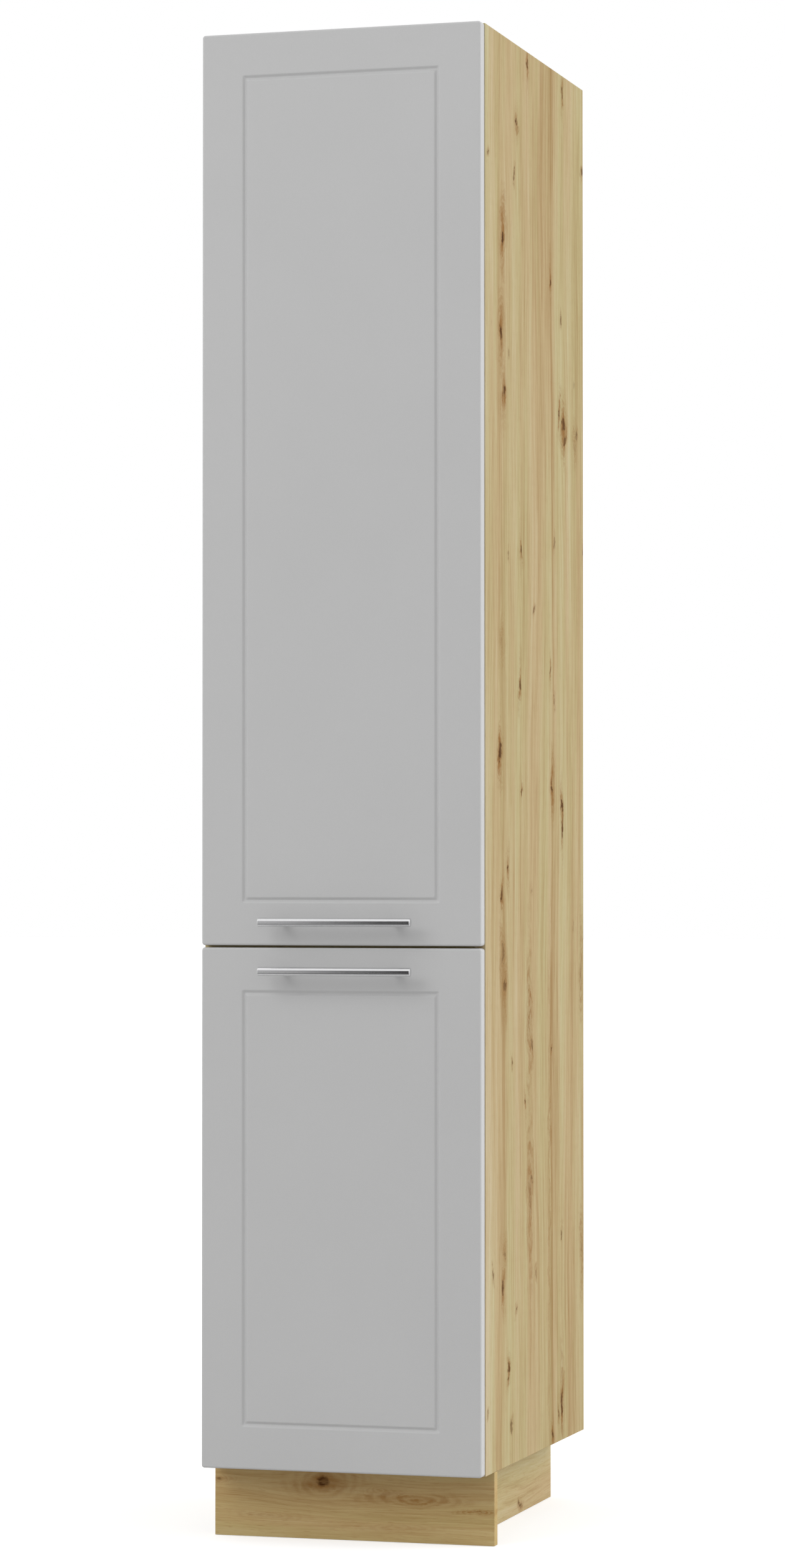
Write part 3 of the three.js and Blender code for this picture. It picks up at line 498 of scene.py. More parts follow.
def plastic_finish(name, colour, roughness):
    """Moulded plastic or rubber with a fine spark-eroded skin."""
    _, nodes = new_material(name)
    place = nodes.place()
    skin = nodes.noise(place, scale=2200.0)
    cloud = nodes.noise(place, scale=90.0, detail=1.0)
    nodes.surface(
        Base_Color=nodes.mix(nodes.spread(cloud, 0.3, 0.7), shaded(colour, 0.9), colour),
        Roughness=nodes.spread(skin, 0.2, 0.8, roughness - 0.05, roughness + 0.05),
        Normal=nodes.bump(skin, 0.00003, 0.4),
    )


def make_finishes(finishes):
    """All finishes, kept in the file by name."""
    group = knot_group()
    left_knots = [(LEFT_FLIP[0] - y, LEFT_FLIP[1] - z, *size) for y, z, *size in SIDE_KNOTS[::2]]
    kick_knots = [(z, x, h, w, dark, haze) for x, z, w, h, dark, haze in KICK_KNOTS]
    oak("oak_side_right", "upright", finishes, group, SIDE_KNOTS, SIDE_LIT_BAND_AND_STREAKS, seed=1.7)
    oak("oak_side_left", "upright", finishes, group, left_knots, seed=4.1)
    oak("oak_crosswise", "crosswise", finishes, group, seed=2.9)
    # Painted light: the plinth front's tint brightens the oak where the overhang shades it, and it also warms
    # the oak.
    oak(
        "oak_kick", "kick", finishes, group, kick_knots, seed=6.3, tint_and_painted_light=(1.15, 1.085, 0.95, 1.0), figure=0.6,
        rough=0.4, specks=False,
    )
    # Painted light: the plinth sides' tint only brightens the oak.
    oak("oak_kick_side", "kick_side", finishes, group, seed=8.2, tint_and_painted_light=(1.1, 1.1, 1.12, 1.0), figure=0.8)
    board_finish("front_foil", linear(finishes.foil), 1.1 * MM, 0.05 * MM, 0.5)
    board_finish("front_melamine", linear(finishes.melamine), 0.8 * MM, 0.04 * MM, 0.45)
    board_finish("back_lacquer", linear(finishes.back_board), 2 * MM, 0.08 * MM, 0.55)
    brushed_finish("handle_steel", linear(finishes.handle_steel), 0, 0.19)
    brushed_finish("post_steel", linear(finishes.handle_steel), 1, 0.26)
    zinc_finish("zinc_sheet", linear(finishes.zinc))
    powder_finish("powder_coat", linear(finishes.powder_coat))
    chrome_finish("basket_chrome", linear(finishes.chrome), 0.07)
    chrome_finish("ball_steel", linear(finishes.chrome), 0.12)
    plastic_finish("nylon", linear(finishes.nylon), 0.5)
    plastic_finish("rubber", linear(finishes.rubber), 0.4)


# ---- mesh shapes


def full_turn(count, start=0.0):
    """Angles evenly round a circle; start is a share of a step."""
    return [2 * math.pi * (k + start) / count for k in range(count)]


def quarter_turn(steps):
    """Angles from 0 to a quarter of a circle."""
    return [step / steps * math.pi / 2 for step in range(steps + 1)]


def evenly(count, reach):
    """Places from -reach to reach."""
    return [(2 * i / (count - 1) - 1) * reach for i in range(count)]


def new_object(name, data):
    """An object in the scene."""
    thing = bpy.data.objects.new(name, data)
    bpy.context.scene.collection.objects.link(thing)
    return thing


def mesh_of(name, vertices, faces, sharp=35.0):
    """A mesh with smooth shading that breaks at sharp edges."""
    mesh = bpy.data.meshes.new(name)
    mesh.from_pydata(vertices, [], faces)
    mesh.validate()
    mesh.update()
    mesh.shade_smooth()
    mesh.set_sharp_from_angle(angle=math.radians(sharp))
    return mesh


class Shape:
    """Vertices and faces that grow as solids are added."""

    def __init__(self):
        self.vertices = []
        self.faces = []

    def rings(self, rings, closed=False):
        """Adds a skin over rings of points; open rows get a face at each end."""
        start = len(self.vertices)
        count = len(rings[0])
        last = start + (len(rings) - 1) * count
        self.vertices.extend(Vector(point) for ring in rings for point in ring)
        for i in range(len(rings) if closed else len(rings) - 1):
            a = start + i * count
            b = start + (i + 1) % len(rings) * count
            self.faces += [[a + k, a + (k + 1) % count, b + (k + 1) % count, b + k] for k in range(count)]
        if not closed:
            self.faces.append([start + k for k in reversed(range(count))])
            self.faces.append([last + k for k in range(count)])

    def turned(self, profile, place, axis, segments=32):
        """Adds a turned solid; the profile lists (radius, distance along the axis) from end to end."""
        axis = Vector(axis).normalized()
        side = axis.orthogonal().normalized()
        other = axis.cross(side)
        arms = [side * math.cos(turn) + other * math.sin(turn) for turn in full_turn(segments)]
        start = Vector(place)
        self.rings([[start + axis * along + arm * radius for arm in arms] for radius, along in profile])

    def tube(self, points, radius, sides=12, closed=False):
        """Adds a round wire along points."""
        points = [Vector(p) for p in points]
        count = len(points)
        normal = None
        rings = []
        for i, point in enumerate(points):
            starts = not closed and i == 0
            ends = not closed and i == count - 1
            out_of = (points[(i + 1) % count] - point).normalized()
            into = out_of if starts else (point - points[i - 1]).normalized()
            out_of = into if ends else out_of
            along = (into + out_of).normalized()
            if normal is None:
                normal = Vector((0, 0, 1)) if closed else along.orthogonal()
            normal = (normal - along * normal.dot(along)).normalized()
            across = along.cross(normal)
            bend = out_of - into
            out = bend.normalized() if bend.length > 1e-6 else across
            stretch = 1 / max(along.dot(into), 0.5)
            arms = [across * math.cos(turn) + normal * math.sin(turn) for turn in full_turn(sides, 0.5)]
            rings.append([point + (arm + out * (arm.dot(out) * (stretch - 1))) * radius for arm in arms])
        self.rings(rings, closed)

    def ball(self, place, radius):
        """Adds a ball."""
        steps = 8
        turns = [math.pi * step / steps for step in range(1, steps)]
        profile = [(radius * 0.05, -radius), *((radius * math.sin(t), -radius * math.cos(t)) for t in turns)]
        self.turned([*profile, (radius * 0.05, radius)], place, (0, 0, 1), 14)

    def piece(self, name, body, slot, *finishes, replaces=(), sharp=35.0):
        """A piece that rides on a body, with its faces turned outwards."""
        mesh = mesh_of(name, self.vertices, self.faces, sharp)
        work = bmesh.new()
        work.from_mesh(mesh)
        bmesh.ops.recalc_face_normals(work, faces=work.faces)
        work.to_mesh(mesh)
        work.free()
        mesh.set_sharp_from_angle(angle=math.radians(sharp))
        piece = new_object(name, mesh)
        for finish in finishes:
            mesh.materials.append(bpy.data.materials[finish])
        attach(piece, body)
        if replaces:
            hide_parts(*replaces)
        return piece


def rounded_rectangle(half_x, half_y, radius, steps=6):
    """Points round a rectangle with rounded corners."""
    points = []
    for sign_x, sign_y, start in ((1, -1, -0.5), (1, 1, 0), (-1, 1, 0.5), (-1, -1, 1)):
        for step in range(steps + 1):
            angle = (start + 0.5 * step / steps) * math.pi
            points.append((
                sign_x * (half_x - radius) + radius * math.cos(angle),
                sign_y * (half_y - radius) + radius * math.sin(angle),
            ))
    return points


def even_shading(piece):
    """Lets the large faces set the shading of their rounded edges."""
    weighted = piece.modifiers.new("even_shading", "WEIGHTED_NORMAL")
    weighted.keep_sharp = True
    return piece


def round_edges(piece, edge, angle=30.0):
    """Rounds a piece's edges."""
    weld = piece.modifiers.new("weld", "WELD")
    weld.merge_threshold = 0.00001
    bevel = piece.modifiers.new("rounded_edges", "BEVEL")
    bevel.width = edge
    bevel.segments = 2
    bevel.limit_method = "ANGLE"
    bevel.angle_limit = math.radians(angle)
    return even_shading(piece)


def rounded_node(node, edge, *finishes, angle=30.0):
    """Gives a carried-over solid its finish and rounds its edges."""
    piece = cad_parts[node]
    for slot, finish in zip(piece.material_slots, finishes):
        slot.material = bpy.data.materials[finish]
    return round_edges(piece, edge, angle)


def box_of(node):
    """Lowest corner, highest corner and middle of a node."""
    low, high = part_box(node)
    return low, high, (low + high) / 2


# ---- fronts and handles


BACK_EDGE = 0.3 * MM  # bevel round each front's back
GROOVE_MARGIN = 2 * MM  # flat band on both sides of the groove
BAR_TIP = 0.4 * MM  # radius of the flat in the middle of a handle bar's ends
POST_EDGE = 0.2 * MM  # bevel round a handle post's foot
POST_SINK = 0.05 * MM  # how far a post's head goes into the bar


def front_profile(sizes, thickness):
    """Distance in from the edge and depth behind the face, from the back round to the face's middle."""
    edge = sizes.front_edge
    profile = [(BACK_EDGE, thickness), (0.0, thickness - BACK_EDGE)]
    for angle in quarter_turn(8):
        profile.append((edge * (1 - math.cos(angle)), edge * (1 - math.sin(angle))))
    half = sizes.groove_width / 2
    profile.append((sizes.groove_inset - half - GROOVE_MARGIN, 0.0))
    for across in evenly(17, 1.0):
        depth = sizes.groove_depth * (1 + math.cos(math.pi * across)) / 2
        profile.append((sizes.groove_inset + half * across, depth))
    profile.append((sizes.groove_inset + half + GROOVE_MARGIN, 0.0))
    return profile


def make_front(level, sizes):
    """A front with a rounded edge, a routed groove and a white back."""
    low, high, middle = box_of(f"{level}_front")
    half_x = (high.x - low.x) / 2
    half_z = (high.z - low.z) / 2
    rings = []
    for inset, depth in front_profile(sizes, high.y - low.y):
        on_rim = inset < sizes.groove_inset / 2
        radius = max(sizes.front_corner - inset, 2 * BACK_EDGE) if on_rim else sizes.groove_corner
        outline = rounded_rectangle(half_x - inset, half_z - inset, radius)
        rings.append([(middle.x + x, low.y + depth, middle.z + z) for x, z in outline])
    shape = Shape()
    shape.rings(rings)
    piece = shape.piece(
        f"{level}_front_panel", f"{level}_pull_out", "grey_foil", "front_foil", "front_melamine",
        replaces=[f"{level}_front"], sharp=40,
    )
    for face in piece.data.polygons:
        if face.center.y > high.y - BACK_EDGE:
            face.material_index = 1
    even_shading(piece)


def make_handle(level, sizes):
    """A bar with rounded ends and two posts whose ends fit the bar."""
    low, high, middle = box_of(f"{level}_handle_bar")
    radius = (high.z - low.z) / 2
    half = (high.x - low.x) / 2
    chamfer = sizes.bar_chamfer
    profile = [(BAR_TIP, -half), (radius - 2 * chamfer, -half)]
    for angle in quarter_turn(4):
        profile.append((radius - chamfer * (1 - math.sin(angle)), -half + chamfer * (1 - math.cos(angle))))
    profile += [(r, -x) for r, x in reversed(profile)]
    bar = Shape()
    bar.turned(profile, middle, (1, 0, 0), 64)
    even_shading(bar.piece(
        f"{level}_bar_handle", f"{level}_pull_out", "brushed_steel", "handle_steel",
        replaces=[f"{level}_handle_bar"], sharp=50,
    ))
    turns = full_turn(48)
    for side, _ in SIDES:
        post_low, post_high, post_middle = box_of(f"{level}_handle_post_{side}")
        post_radius = (post_high.x - post_low.x) / 2
        saddle = []
        for turn in turns:
            z = post_radius * math.sin(turn)
            y = middle.y + math.sqrt((radius - POST_SINK) ** 2 - z ** 2)
            saddle.append((post_middle.x + post_radius * math.cos(turn), y, middle.z + z))
        rings = [saddle]
        for reach, back in (
            (post_radius, 4 * POST_EDGE), (post_radius, POST_EDGE), (post_radius - POST_EDGE, 0.0),
        ):
            rings.append([
                (post_middle.x + reach * math.cos(t), post_high.y - back, middle.z + reach * math.sin(t))
                for t in turns
            ])
        post = Shape()
        post.rings(rings)
        even_shading(post.piece(
            f"{level}_bar_post_{side}", f"{level}_pull_out", "brushed_steel", "post_steel",
            replaces=[f"{level}_handle_post_{side}"], sharp=50,
        ))


# ---- small fastenings


TIP = 0.3 * MM  # radius of the flat in the middle of a turned end
SHANK = 2 * MM  # radius of the handle screws' shanks
SEAT_GAP = 0.1 * MM  # between a handle screw's head and the front's back
SHEET = 2 * MM  # thickness of the brackets and of the baskets' hook plates

# Turned outlines, in millimetres: radius and distance along the axis.
WASHER = ((2.6, 0.0), (7.5, 0.0), (7.8, 0.3), (7.8, 0.9), (7.5, 1.2), (2.6, 1.2))
BUFFER = ((0.3, 0.0), (4.0, 0.0), (4.0, 0.4), (3.4, 0.7), (2.2, 0.85), (0.3, 0.9))
NAIL = (
    (0.2, -12.0), (0.7, -10.5), (0.7, -0.6), (2.4, -0.6), (2.4, 0.05), (2.1, 0.15), (0.8, 0.19), (0.2, 0.1),
)

# Radius and height of each kind of screw head.
HANDLE_SCREW_RADIUS = 4.25 * MM
FRONT_SCREW = (4.2 * MM, 2.2 * MM)
POST_BOLT = (5 * MM, 3 * MM)
WASHER_SHEET = 1.2 * MM

# Places of the small fittings: across from the middle, above a bracket's middle, and in from an edge.
FRONT_SCREW_ACROSS = 84 * MM
POST_BOLT_RISE = 12 * MM
BUFFER_ACROSS = 191.5 * MM
BUFFER_INSET = 30 * MM
NAIL_INSET = 5 * MM


def in_metres(outline):
    """An outline in millimetres as the shapes want it."""
    return [(radius * MM, along * MM) for radius, along in outline]


def add_screw_head(shape, place, axis, radius, height, shank=0.0):
    """A pan head with a cross recess, pointing along the axis; its seat is at place."""
    profile = [(TIP, -shank), (SHANK, -shank), (SHANK, 0.0)] if shank else [(TIP, 0.0)]
    profile += [(radius, 0.0), (radius, height * 0.35)]
    for angle in quarter_turn(6)[1:-1]:
        profile.append((radius * (0.45 + 0.55 * math.cos(angle)), height * (0.35 + 0.65 * math.sin(angle))))
    profile += [(radius * 0.42, height), (radius * 0.36, height * 0.75), (radius * 0.1, height * 0.45)]
    shape.turned(profile, place, axis, 24)


def make_fastenings(level):
    """Handle screws, bracket screws and bolts, and rubber buffers."""
    body = f"{level}_pull_out"
    low, high, _ = box_of(f"{level}_front")
    seat = high.y + SEAT_GAP
    for side, _ in SIDES:
        node = f"{level}_handle_screw_{side}"
        tip, head, middle = box_of(node)
        height, shank = head.y - seat, seat - tip.y
        screw = Shape()
        add_screw_head(screw, (middle.x, seat, middle.z), (0, 1, 0), HANDLE_SCREW_RADIUS, height, shank)
        screw.piece(f"{level}_machine_screw_{side}", body, "zinc_steel", "zinc_sheet", replaces=[node])
    screws = Shape()
    for i in range(BRACKETS[level]):
        front, back, middle = box_of(f"{level}_front_bracket_{i + 1}")
        inside = front.y + SHEET
        for _, sign in SIDES:
            x = sign * FRONT_SCREW_ACROSS
            screws.turned(in_metres(WASHER), (x, inside, middle.z), (0, 1, 0))
            add_screw_head(screws, (x, inside + WASHER_SHEET, middle.z), (0, 1, 0), *FRONT_SCREW)
        for rise in (-POST_BOLT_RISE, POST_BOLT_RISE):
            add_screw_head(screws, (0.0, back.y - SHEET, middle.z + rise), (0, -1, 0), *POST_BOLT)
    screws.piece(f"{level}_bracket_screws", body, "zinc_steel", "zinc_sheet")
    buffers = Shape()
    for _, sign in SIDES:
        for z in (low.z + BUFFER_INSET, high.z - BUFFER_INSET):
            buffers.turned(in_metres(BUFFER), (sign * BUFFER_ACROSS, high.y, z), (0, 1, 0), 24)
    buffers.piece(f"{level}_buffers", body, "grey_nylon", "rubber")


def nail_places(low, high, spacing):
    """Places round a board's edge, a little in from it."""
    left, right = low.x + NAIL_INSET, high.x - NAIL_INSET
    bottom, top = low.z + NAIL_INSET, high.z - NAIL_INSET
    rises = max(1, round((top - bottom) / spacing))
    steps = max(1, round((right - left) / spacing))
    places = [(x, bottom + (top - bottom) * i / rises) for x in (left, right) for i in range(rises + 1)]
    return places + [(left + (right - left) * i / steps, z) for z in (bottom, top) for i in range(1, steps)]


def make_back_nails(spacing):
    """Flat nail heads round the two back boards."""
    shape = Shape()
    for level in LEVELS:
        low, high, _ = box_of(f"back_board_{level}")
        for x, z in nail_places(low, high, spacing):
            shape.turned(in_metres(NAIL), (x, high.y, z), (0, 1, 0), 20)
    shape.piece("back_nails", "cabinet", "zinc_steel", "zinc_sheet")


def make_tube_caps(level, sizes):
    """Plastic caps on the tops of the two upright tubes."""
    shape = Shape()
    for post in ("front_post", "rear_post"):
        low, high, middle = box_of(f"{level}_{post}")
        half_x, half_y = (high.x - low.x) / 2, (high.y - low.y) / 2
        rings = []
        for inset, rise in ((0.0, 0.0), (0.0, 0.9 * MM), (0.3 * MM, 1.3 * MM), (0.9 * MM, 1.5 * MM)):
            outline = rounded_rectangle(half_x - inset, half_y - inset, sizes.tube_corner)
            rings.append([(middle.x + x, middle.y + y, high.z + rise) for x, y in outline])
        shape.rings(rings)
    shape.piece(f"{level}_tube_caps", f"{level}_pull_out", "grey_nylon", "nylon")


# ---- baskets


HOOK_REACH = 5.1 * MM  # from a basket's end to the outermost line of its hooks
WELD = 0.5 * MM  # how far crossing wires sink into each other
LOOP_RISE = 48 * MM  # middle loop above the basket's lowest point
WIRES = 12
WIRE_BEND = 9 * MM  # radius where a thin wire turns up
WIRE_MARGIN = 10 * MM  # last thin wire in from the rounded corner
LONG_WIRE_ACROSS = 75 * MM  # two wires along the floor, out from the middle
LONG_WIRE_WELD = 0.6 * MM
PLATE_HALF_WIDTH = 17 * MM
PLATE_CORNER = 3 * MM
HOOK_HALF_WIDTH = 2 * MM
HOOK_RISES = (72 * MM, 40 * MM)  # lower edges of the hooks above the basket's lowest point
HOOK_HEIGHT = 14 * MM
HOOK_DROP = 6 * MM
HOOK_PLAY = 0.3 * MM
HOOK_CORNER = 1.5 * MM
HOOK_TAPER = 0.6 * MM


def basket_shape(low, high, sizes):
    """A basket of round wires: three loops, thin wires bent to a U, and two along the floor."""
    shape = Shape()
    middle = (low + high) / 2
    rim = sizes.rim_wire / 2
    thin = sizes.floor_wire / 2
    half_x = (high.x - low.x) / 2 - rim
    end = (high.y - low.y) / 2 - HOOK_REACH
    half_y = end - rim
    top = high.z - rim
    base = low.z + rim
    for z, radius in ((top, rim), (low.z + LOOP_RISE, sizes.loop_wire / 2), (base, rim)):
        outline = rounded_rectangle(half_x, half_y, sizes.basket_corner - rim, 10)
        shape.tube([(middle.x + x, middle.y + y, z) for x, y in outline], radius, 14, closed=True)
    reach = end - sizes.basket_corner - WIRE_MARGIN
    inside = half_x - rim - thin + WELD
    floor = base + rim + thin - WELD
    path = [(-inside, top)]
    for sign, start in ((-1, math.pi), (1, 1.5 * math.pi)):
        for turn in quarter_turn(6):
            x = sign * (inside - WIRE_BEND) + WIRE_BEND * math.cos(start + turn)
            path.append((x, floor + WIRE_BEND * (1 + math.sin(start + turn))))
    path.append((inside, top))
    for y in evenly(WIRES, reach):
        shape.tube([(middle.x + x, middle.y + y, z) for x, z in path], thin, 10)
    z = floor - 2 * thin + LONG_WIRE_WELD
    for x in (-LONG_WIRE_ACROSS, LONG_WIRE_ACROSS):
        shape.tube([(x, middle.y - half_y + rim, z), (x, middle.y + half_y - rim, z)], thin, 10)
    return shape, middle, end


def add_hook_plate(shape, middle, low, high, end, sign, sizes):
    """A plate on the basket's end with two hooks that drop behind the post's wall."""
    inner = middle.y + sign * (end - sizes.rim_wire / 2 + sizes.loop_wire / 2 - WELD)
    outer = inner + sign * SHEET
    outline = rounded_rectangle(PLATE_HALF_WIDTH, (high.z - low.z) / 2 - PLATE_CORNER / 2, PLATE_CORNER, 4)
    shape.rings([[(x, y, middle.z + up) for x, up in outline] for y in (inner, outer)])
    root = inner + sign * SHEET / 2
    near = outer + sign * (sizes.frame_wall + 2 * HOOK_PLAY)
    far = near + sign * SHEET
    taper = sign * HOOK_TAPER
    for rise in HOOK_RISES:
        hook = low.z + rise
        tip = hook - HOOK_DROP
        top = hook + HOOK_HEIGHT
        profile = [
            (root, hook), (near, hook), (near, tip + HOOK_CORNER), (near + taper, tip), (far - taper, tip),
            (far, tip + HOOK_CORNER), (far, top - HOOK_CORNER), (far - sign * HOOK_CORNER, top), (root, top),
        ]
        shape.rings([[(x, y, up) for y, up in profile] for x in (-HOOK_HALF_WIDTH, HOOK_HALF_WIDTH)])


def make_basket(level, number, sizes):
    """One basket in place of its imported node."""
    node = f"{level}_basket_{number}"
    low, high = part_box(node)
    shape, middle, end = basket_shape(low, high, sizes)
    for sign in (-1, 1):
        add_hook_plate(shape, middle, low, high, end, sign, sizes)
    name = f"{level}_wire_basket_{number}"
    shape.piece(name, f"{level}_pull_out", "chrome_wire", "basket_chrome", replaces=[node])


# ---- runners


BALLS = 10  # on each side of a cage
BALL_RISE = {"outer": 6.4 * MM, "inner": 8.4 * MM}  # middle of the balls above the cage's floor
CAGE_SHEET = 0.8 * MM
CAGE_LIP = 2.2 * MM  # how far a cage's walls rise above the balls' middle
BALL_MARGIN = 8 * MM  # first and last ball in from the cage's ends


def make_ball_cage(level, which, sizes):
    """A sheet trough with a row of round balls along each side."""
    node = f"{level}_ball_cage_{which}"
    low, high, middle = box_of(node)
    line_x = high.x - sizes.ball_radius
    ball_z = low.z + BALL_RISE[which]
    top = ball_z + CAGE_LIP
    floor = low.z + CAGE_SHEET
    outer, inner = line_x + CAGE_SHEET / 2, line_x - CAGE_SHEET / 2
    outline = [
        (-outer, top), (-outer, low.z), (outer, low.z), (outer, top),
        (inner, top), (inner, floor), (-inner, floor), (-inner, top),
    ]
    trough = Shape()
    trough.rings([[(x, y, z) for x, z in outline] for y in (low.y, high.y)])
    piece = trough.piece(f"{level}_cage_trough_{which}", node, "brushed_steel", "zinc_sheet", replaces=[node])
    round_edges(piece, CAGE_SHEET / 4)
    reach = (high.y - low.y) / 2 - BALL_MARGIN
    balls = Shape()
    for _, sign in SIDES:
        for y in evenly(BALLS, reach):
            balls.ball((sign * line_x, middle.y + y, ball_z), sizes.ball_radius)
    balls.piece(f"{level}_balls_{which}", node, "brushed_steel", "ball_steel", sharp=60)


# ---- stage


FLOOR_HALF = 60  # from the middle to each edge
FLOOR_DEPTH = 0.5 * MM  # how far the floor lies under the plinth
FLOOR_GREY = (0.6, 0.6, 0.6, 1.0)
FLOOR_GLOW = 0.56  # lifts the floor to white, all but its shadow
KEY_PLACE = Vector((-4.65, -8.3, 7.1))
KEY_AIM = Vector((0.0, -0.2, 1.05))
KEY_SIZE = 6.5
FILL_SPREAD = math.radians(60)
LEFT_FILL = (0.9, 0.15, -0.4)
RIGHT_FILL = (-0.9, -0.35, -0.3)
CARD_PLACE = (-0.7, -1.8, 0.01)
CARD_HALF_WIDTH = 1.3
CARD_HEIGHT = 1.86
CARD_DEPTH = 1.45  # how far its lying part comes towards the cabinet
CARD_GLOW = 0.42  # of the lying part, near the cabinet
FAR_LIMIT = 200  # how far the camera sees


def aim(thing, direction):
    """Turns a lamp or the camera along a direction."""
    thing.rotation_euler = direction.to_track_quat("-Z", "Y").to_euler()


def seen_directly(nodes):
    """1 for rays from the camera and for what mirrors and glass show."""
    rays = nodes.add("ShaderNodeLightPath").outputs
    seen = nodes.math("MAXIMUM", rays["Is Camera Ray"], rays["Is Glossy Ray"])
    return nodes.math("MAXIMUM", seen, rays["Is Transmission Ray"])


def make_world(sky):
    """A white surrounding that lights the cabinet evenly with a strength of its own."""
    world = bpy.data.worlds.new("studio")
    world.use_nodes = True
    world.node_tree.nodes.clear()
    nodes = Nodes(world.node_tree)
    strength = nodes.math("MAXIMUM", seen_directly(nodes), sky)
    light = nodes.add("ShaderNodeBackground", {"Color": WHITE, "Strength": strength})
    nodes.add("ShaderNodeOutputWorld", {0: light.outputs[0]})
    bpy.context.scene.world = world


def make_floor():
    """A white floor that shows only the cabinet's shadow."""
    material, nodes = new_material("studio_floor")
    pale = nodes.add("ShaderNodeBsdfDiffuse", {"Color": FLOOR_GREY}).outputs[0]
    glow = nodes.glow(nodes.times(seen_directly(nodes), FLOOR_GLOW))
    nodes.output(nodes.add("ShaderNodeAddShader", {0: pale, 1: glow}).outputs[0])
    square = ((-1, -1), (1, -1), (1, 1), (-1, 1))
    corners = [(x * FLOOR_HALF, y * FLOOR_HALF, -FLOOR_DEPTH) for x, y in square]
    mesh = mesh_of("studio_floor", corners, [[0, 1, 2, 3]])
    mesh.materials.append(material)
    floor = new_object("studio_floor", mesh)


def make_reflector():
    """A card that only mirroring metal shows: half stands, dark on the right, and half lies at its foot."""
    material, nodes = new_material("grey_card")
    across, along, _ = nodes.parts(nodes.place())
    standing = nodes.spread(across, 0.32, 0.06, 0.02, 0.62)
    close = nodes.spread(along, 0.7, 1.0)
    far = nodes.math("SUBTRACT", 1.0, close)
    nodes.output(nodes.glow(nodes.math("ADD", nodes.times(far, standing), nodes.times(close, CARD_GLOW))))
    rows = ((0, CARD_HEIGHT), (0, 0), (CARD_DEPTH, 0))
    corners = [(x, y, z) for y, z in rows for x in (-CARD_HALF_WIDTH, CARD_HALF_WIDTH)]
    mesh = mesh_of("grey_card", corners, [[0, 1, 3, 2], [2, 3, 5, 4]])
    mesh.materials.append(material)
    card = new_object("grey_card", mesh)
    card.location = CARD_PLACE
    card.visible_camera = card.visible_diffuse = card.visible_shadow = card.visible_transmission = False


def make_key(power):
    """A soft square lamp that isn't seen itself or in mirroring metal."""
    lamp = bpy.data.lights.new("key", "AREA")
    lamp.energy = power
    lamp.size = KEY_SIZE
    key = new_object("key", lamp)
    key.location = KEY_PLACE
    aim(key, KEY_AIM - KEY_PLACE)
    key.visible_camera = key.visible_glossy = False


def make_fill(name, strength, direction):
    """A soft distant lamp."""
    lamp = bpy.data.lights.new(name, "SUN")
    lamp.energy = strength
    lamp.angle = FILL_SPREAD
    aim(new_object(name, lamp), Vector(direction))


def make_camera(settings):
    """The camera in front of the cabinet, to its right."""
    camera = bpy.data.cameras.new("camera")
    camera.lens = settings.lens
    camera.clip_end = FAR_LIMIT
    view = new_object("camera", camera)
    view.location = settings.camera_place
    turn, rise = settings.camera_turn, settings.camera_rise
    aim(view, Vector((-math.sin(turn) * math.cos(rise), math.cos(turn) * math.cos(rise), math.sin(rise))))
    bpy.context.scene.camera = view


# ---- operators


class LARDER_OT_finishes(bpy.types.Operator):
    """Make the finishes of all the boards, metals and plastics."""

    bl_idname = "larder.finishes"
    bl_label = "Finishes"

    def execute(self, context):
        make_finishes(context.scene.larder_finishes)
        return {"FINISHED"}


class LARDER_OT_carcass(bpy.types.Operator):
    """Finish the side panels, shelves and back boards, and nail the back boards."""

    bl_idname = "larder.carcass"
    bl_label = "Carcass"

    def execute(self, context):
        edge = context.scene.larder_sizes.board_edge
        rounded_node("side_panel_left", edge, "oak_side_left")
        rounded_node("side_panel_right", edge, "oak_side_right")
        for board in ("bottom_panel", "middle_shelf", "top_panel"):
            rounded_node(board, edge, "oak_crosswise")
        for level in LEVELS:
            rounded_node(f"back_board_{level}", edge, "back_lacquer")
        make_back_nails(context.scene.larder_sizes.nail_spacing)
        return {"FINISHED"}


class LARDER_OT_plinth(bpy.types.Operator):
    """Finish the four boards of the plinth."""

    bl_idname = "larder.plinth"
    bl_label = "Plinth"

    def execute(self, context):
        edge = context.scene.larder_sizes.board_edge
        rounded_node("plinth_front", edge, "oak_kick")
        rounded_node("plinth_rear", edge, "oak_kick")
        for side, _ in SIDES:
            rounded_node(f"plinth_side_{side}", edge, "oak_kick_side")
        return {"FINISHED"}


class LARDER_OT_fronts(bpy.types.Operator):
    """Make the two framed fronts."""

    bl_idname = "larder.fronts"
    bl_label = "Fronts"

    def execute(self, context):
        for level in LEVELS:
            make_front(level, context.scene.larder_sizes)
        return {"FINISHED"}


class LARDER_OT_handles(bpy.types.Operator):
    """Make the two bar handles and their posts."""

    bl_idname = "larder.handles"
    bl_label = "Handles"

    def execute(self, context):
        for level in LEVELS:
            make_handle(level, context.scene.larder_sizes)
        return {"FINISHED"}


class LARDER_OT_fastenings(bpy.types.Operator):
    """Make the screws, washers and buffers behind the fronts."""

    bl_idname = "larder.fastenings"
    bl_label = "Fastenings"

    def execute(self, context):
        for level in LEVELS:
            make_fastenings(level)
        return {"FINISHED"}


class LARDER_OT_frames(bpy.types.Operator):
    """Finish the pull-out frames and the brackets that carry the fronts."""

    bl_idname = "larder.frames"
    bl_label = "Pull-out frames"

    def execute(self, context):
        edge = context.scene.larder_sizes.sheet_edge
        for level in LEVELS:
            for tube in ("front_post", "rear_post", "bottom_bar", "top_bar"):
                rounded_node(f"{level}_{tube}", edge, "powder_coat", angle=60)
            for i in range(BRACKETS[level]):
                rounded_node(f"{level}_front_bracket_{i + 1}", edge, "zinc_sheet")
            make_tube_caps(level, context.scene.larder_sizes)
        return {"FINISHED"}


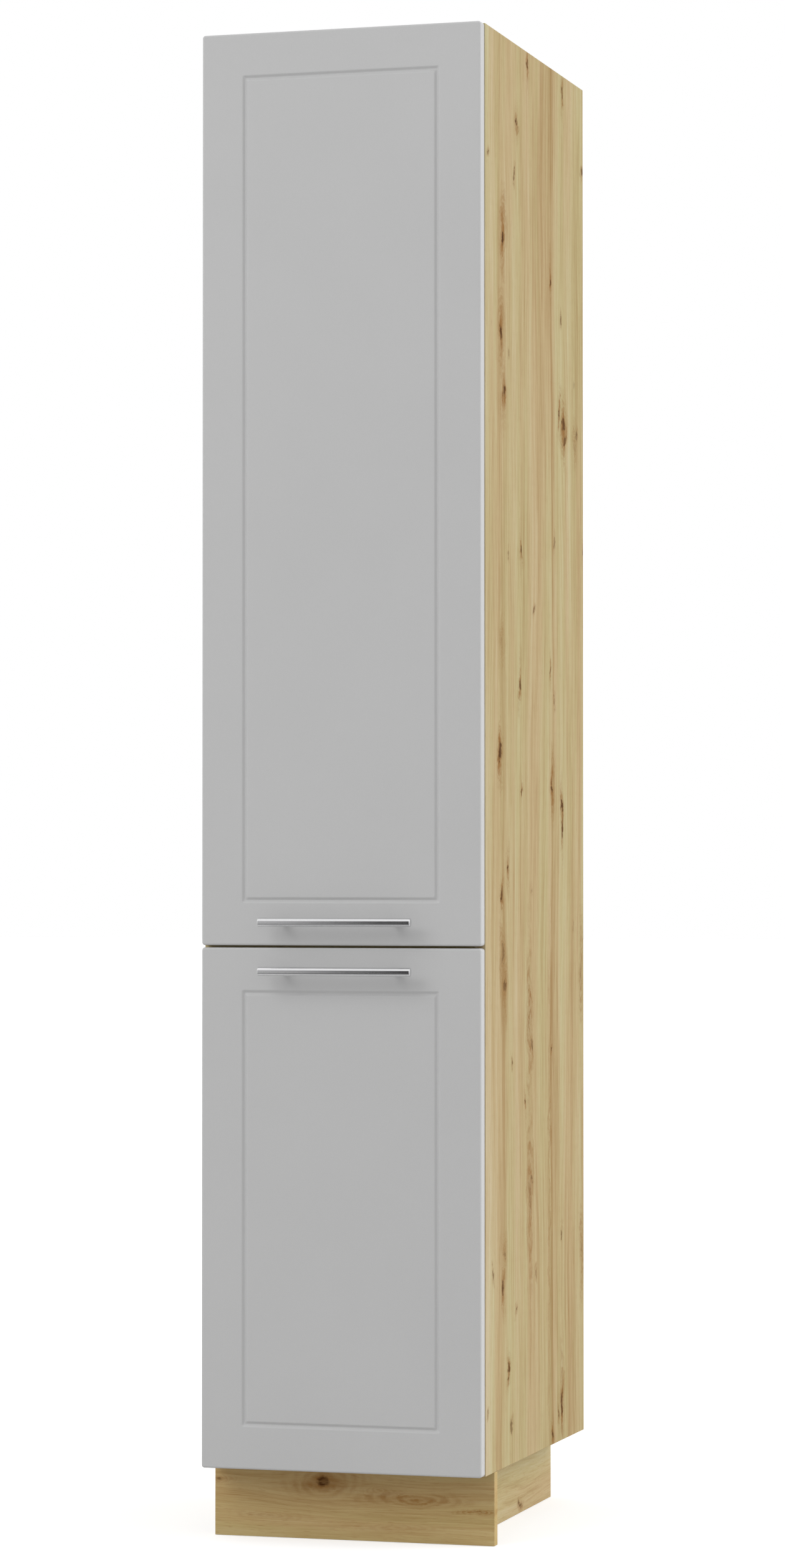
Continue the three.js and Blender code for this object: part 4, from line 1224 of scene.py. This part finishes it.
class LARDER_OT_baskets(bpy.types.Operator):
    """Make the six wire baskets."""

    bl_idname = "larder.baskets"
    bl_label = "Baskets"

    def execute(self, context):
        for level in LEVELS:
            for i in range(BASKETS[level]):
                make_basket(level, i + 1, context.scene.larder_sizes)
        return {"FINISHED"}


class LARDER_OT_runners(bpy.types.Operator):
    """Finish the ball-bearing runners under the frames."""

    bl_idname = "larder.runners"
    bl_label = "Runners"

    def execute(self, context):
        edge = context.scene.larder_sizes.sheet_edge
        for level in LEVELS:
            for profile in ("runner_rail", "runner_middle", "runner_carriage"):
                rounded_node(f"{level}_{profile}", edge, "zinc_sheet")
            for which in ("outer", "inner"):
                make_ball_cage(level, which, context.scene.larder_sizes)
        return {"FINISHED"}


class LARDER_OT_guides(bpy.types.Operator):
    """Finish the guides above the frames."""

    bl_idname = "larder.guides"
    bl_label = "Guides"

    def execute(self, context):
        edge = context.scene.larder_sizes.sheet_edge
        for level in LEVELS:
            rounded_node(f"{level}_guide_rail", edge, "zinc_sheet")
            rounded_node(f"{level}_guide_slide", edge, "zinc_sheet")
            rounded_node(f"{level}_guide_shoe", edge, "nylon")
        return {"FINISHED"}


class LARDER_OT_stage(bpy.types.Operator):
    """Make the floor, the light and the camera."""

    bl_idname = "larder.stage"
    bl_label = "Stage"

    def execute(self, context):
        settings = context.scene.larder_stage
        context.scene.view_settings.view_transform = "Standard"
        make_world(settings.sky)
        make_floor()
        make_key(settings.key)
        make_reflector()
        make_fill("left_fill", settings.left_fill, LEFT_FILL)
        make_fill("right_fill", settings.right_fill, RIGHT_FILL)
        make_camera(settings)
        return {"FINISHED"}


class LARDER_PT_panel(bpy.types.Panel):
    """Lists the pieces of the larder cabinet."""

    bl_idname = "LARDER_PT_panel"
    bl_label = "Larder cabinet"
    bl_space_type = "VIEW_3D"
    bl_region_type = "UI"
    bl_category = "Larder"

    def draw(self, context):
        for operator in OPERATORS:
            self.layout.operator(operator.bl_idname)


OPERATORS = (
    LARDER_OT_stage,
    LARDER_OT_finishes,
    LARDER_OT_carcass,
    LARDER_OT_plinth,
    LARDER_OT_fronts,
    LARDER_OT_handles,
    LARDER_OT_fastenings,
    LARDER_OT_frames,
    LARDER_OT_baskets,
    LARDER_OT_runners,
    LARDER_OT_guides,
)
SETTINGS = {
    "larder_finishes": LarderFinishes,
    "larder_sizes": LarderSizes,
    "larder_stage": LarderStage,
}
CLASSES = (*SETTINGS.values(), *OPERATORS, LARDER_PT_panel)


def register():
    """Adds the settings, the operators and the panel."""
    for cls in CLASSES:
        bpy.utils.register_class(cls)
    for name, group in SETTINGS.items():
        setattr(bpy.types.Scene, name, bpy.props.PointerProperty(type=group))


def unregister():
    """Takes them away again."""
    for name in SETTINGS:
        delattr(bpy.types.Scene, name)
    for cls in reversed(CLASSES):
        bpy.utils.unregister_class(cls)


def main():
    """Makes every piece."""
    register()
    for operator in OPERATORS:
        group, name = operator.bl_idname.split(".")
        getattr(getattr(bpy.ops, group), name)()


if __name__ == "__main__":
    main()
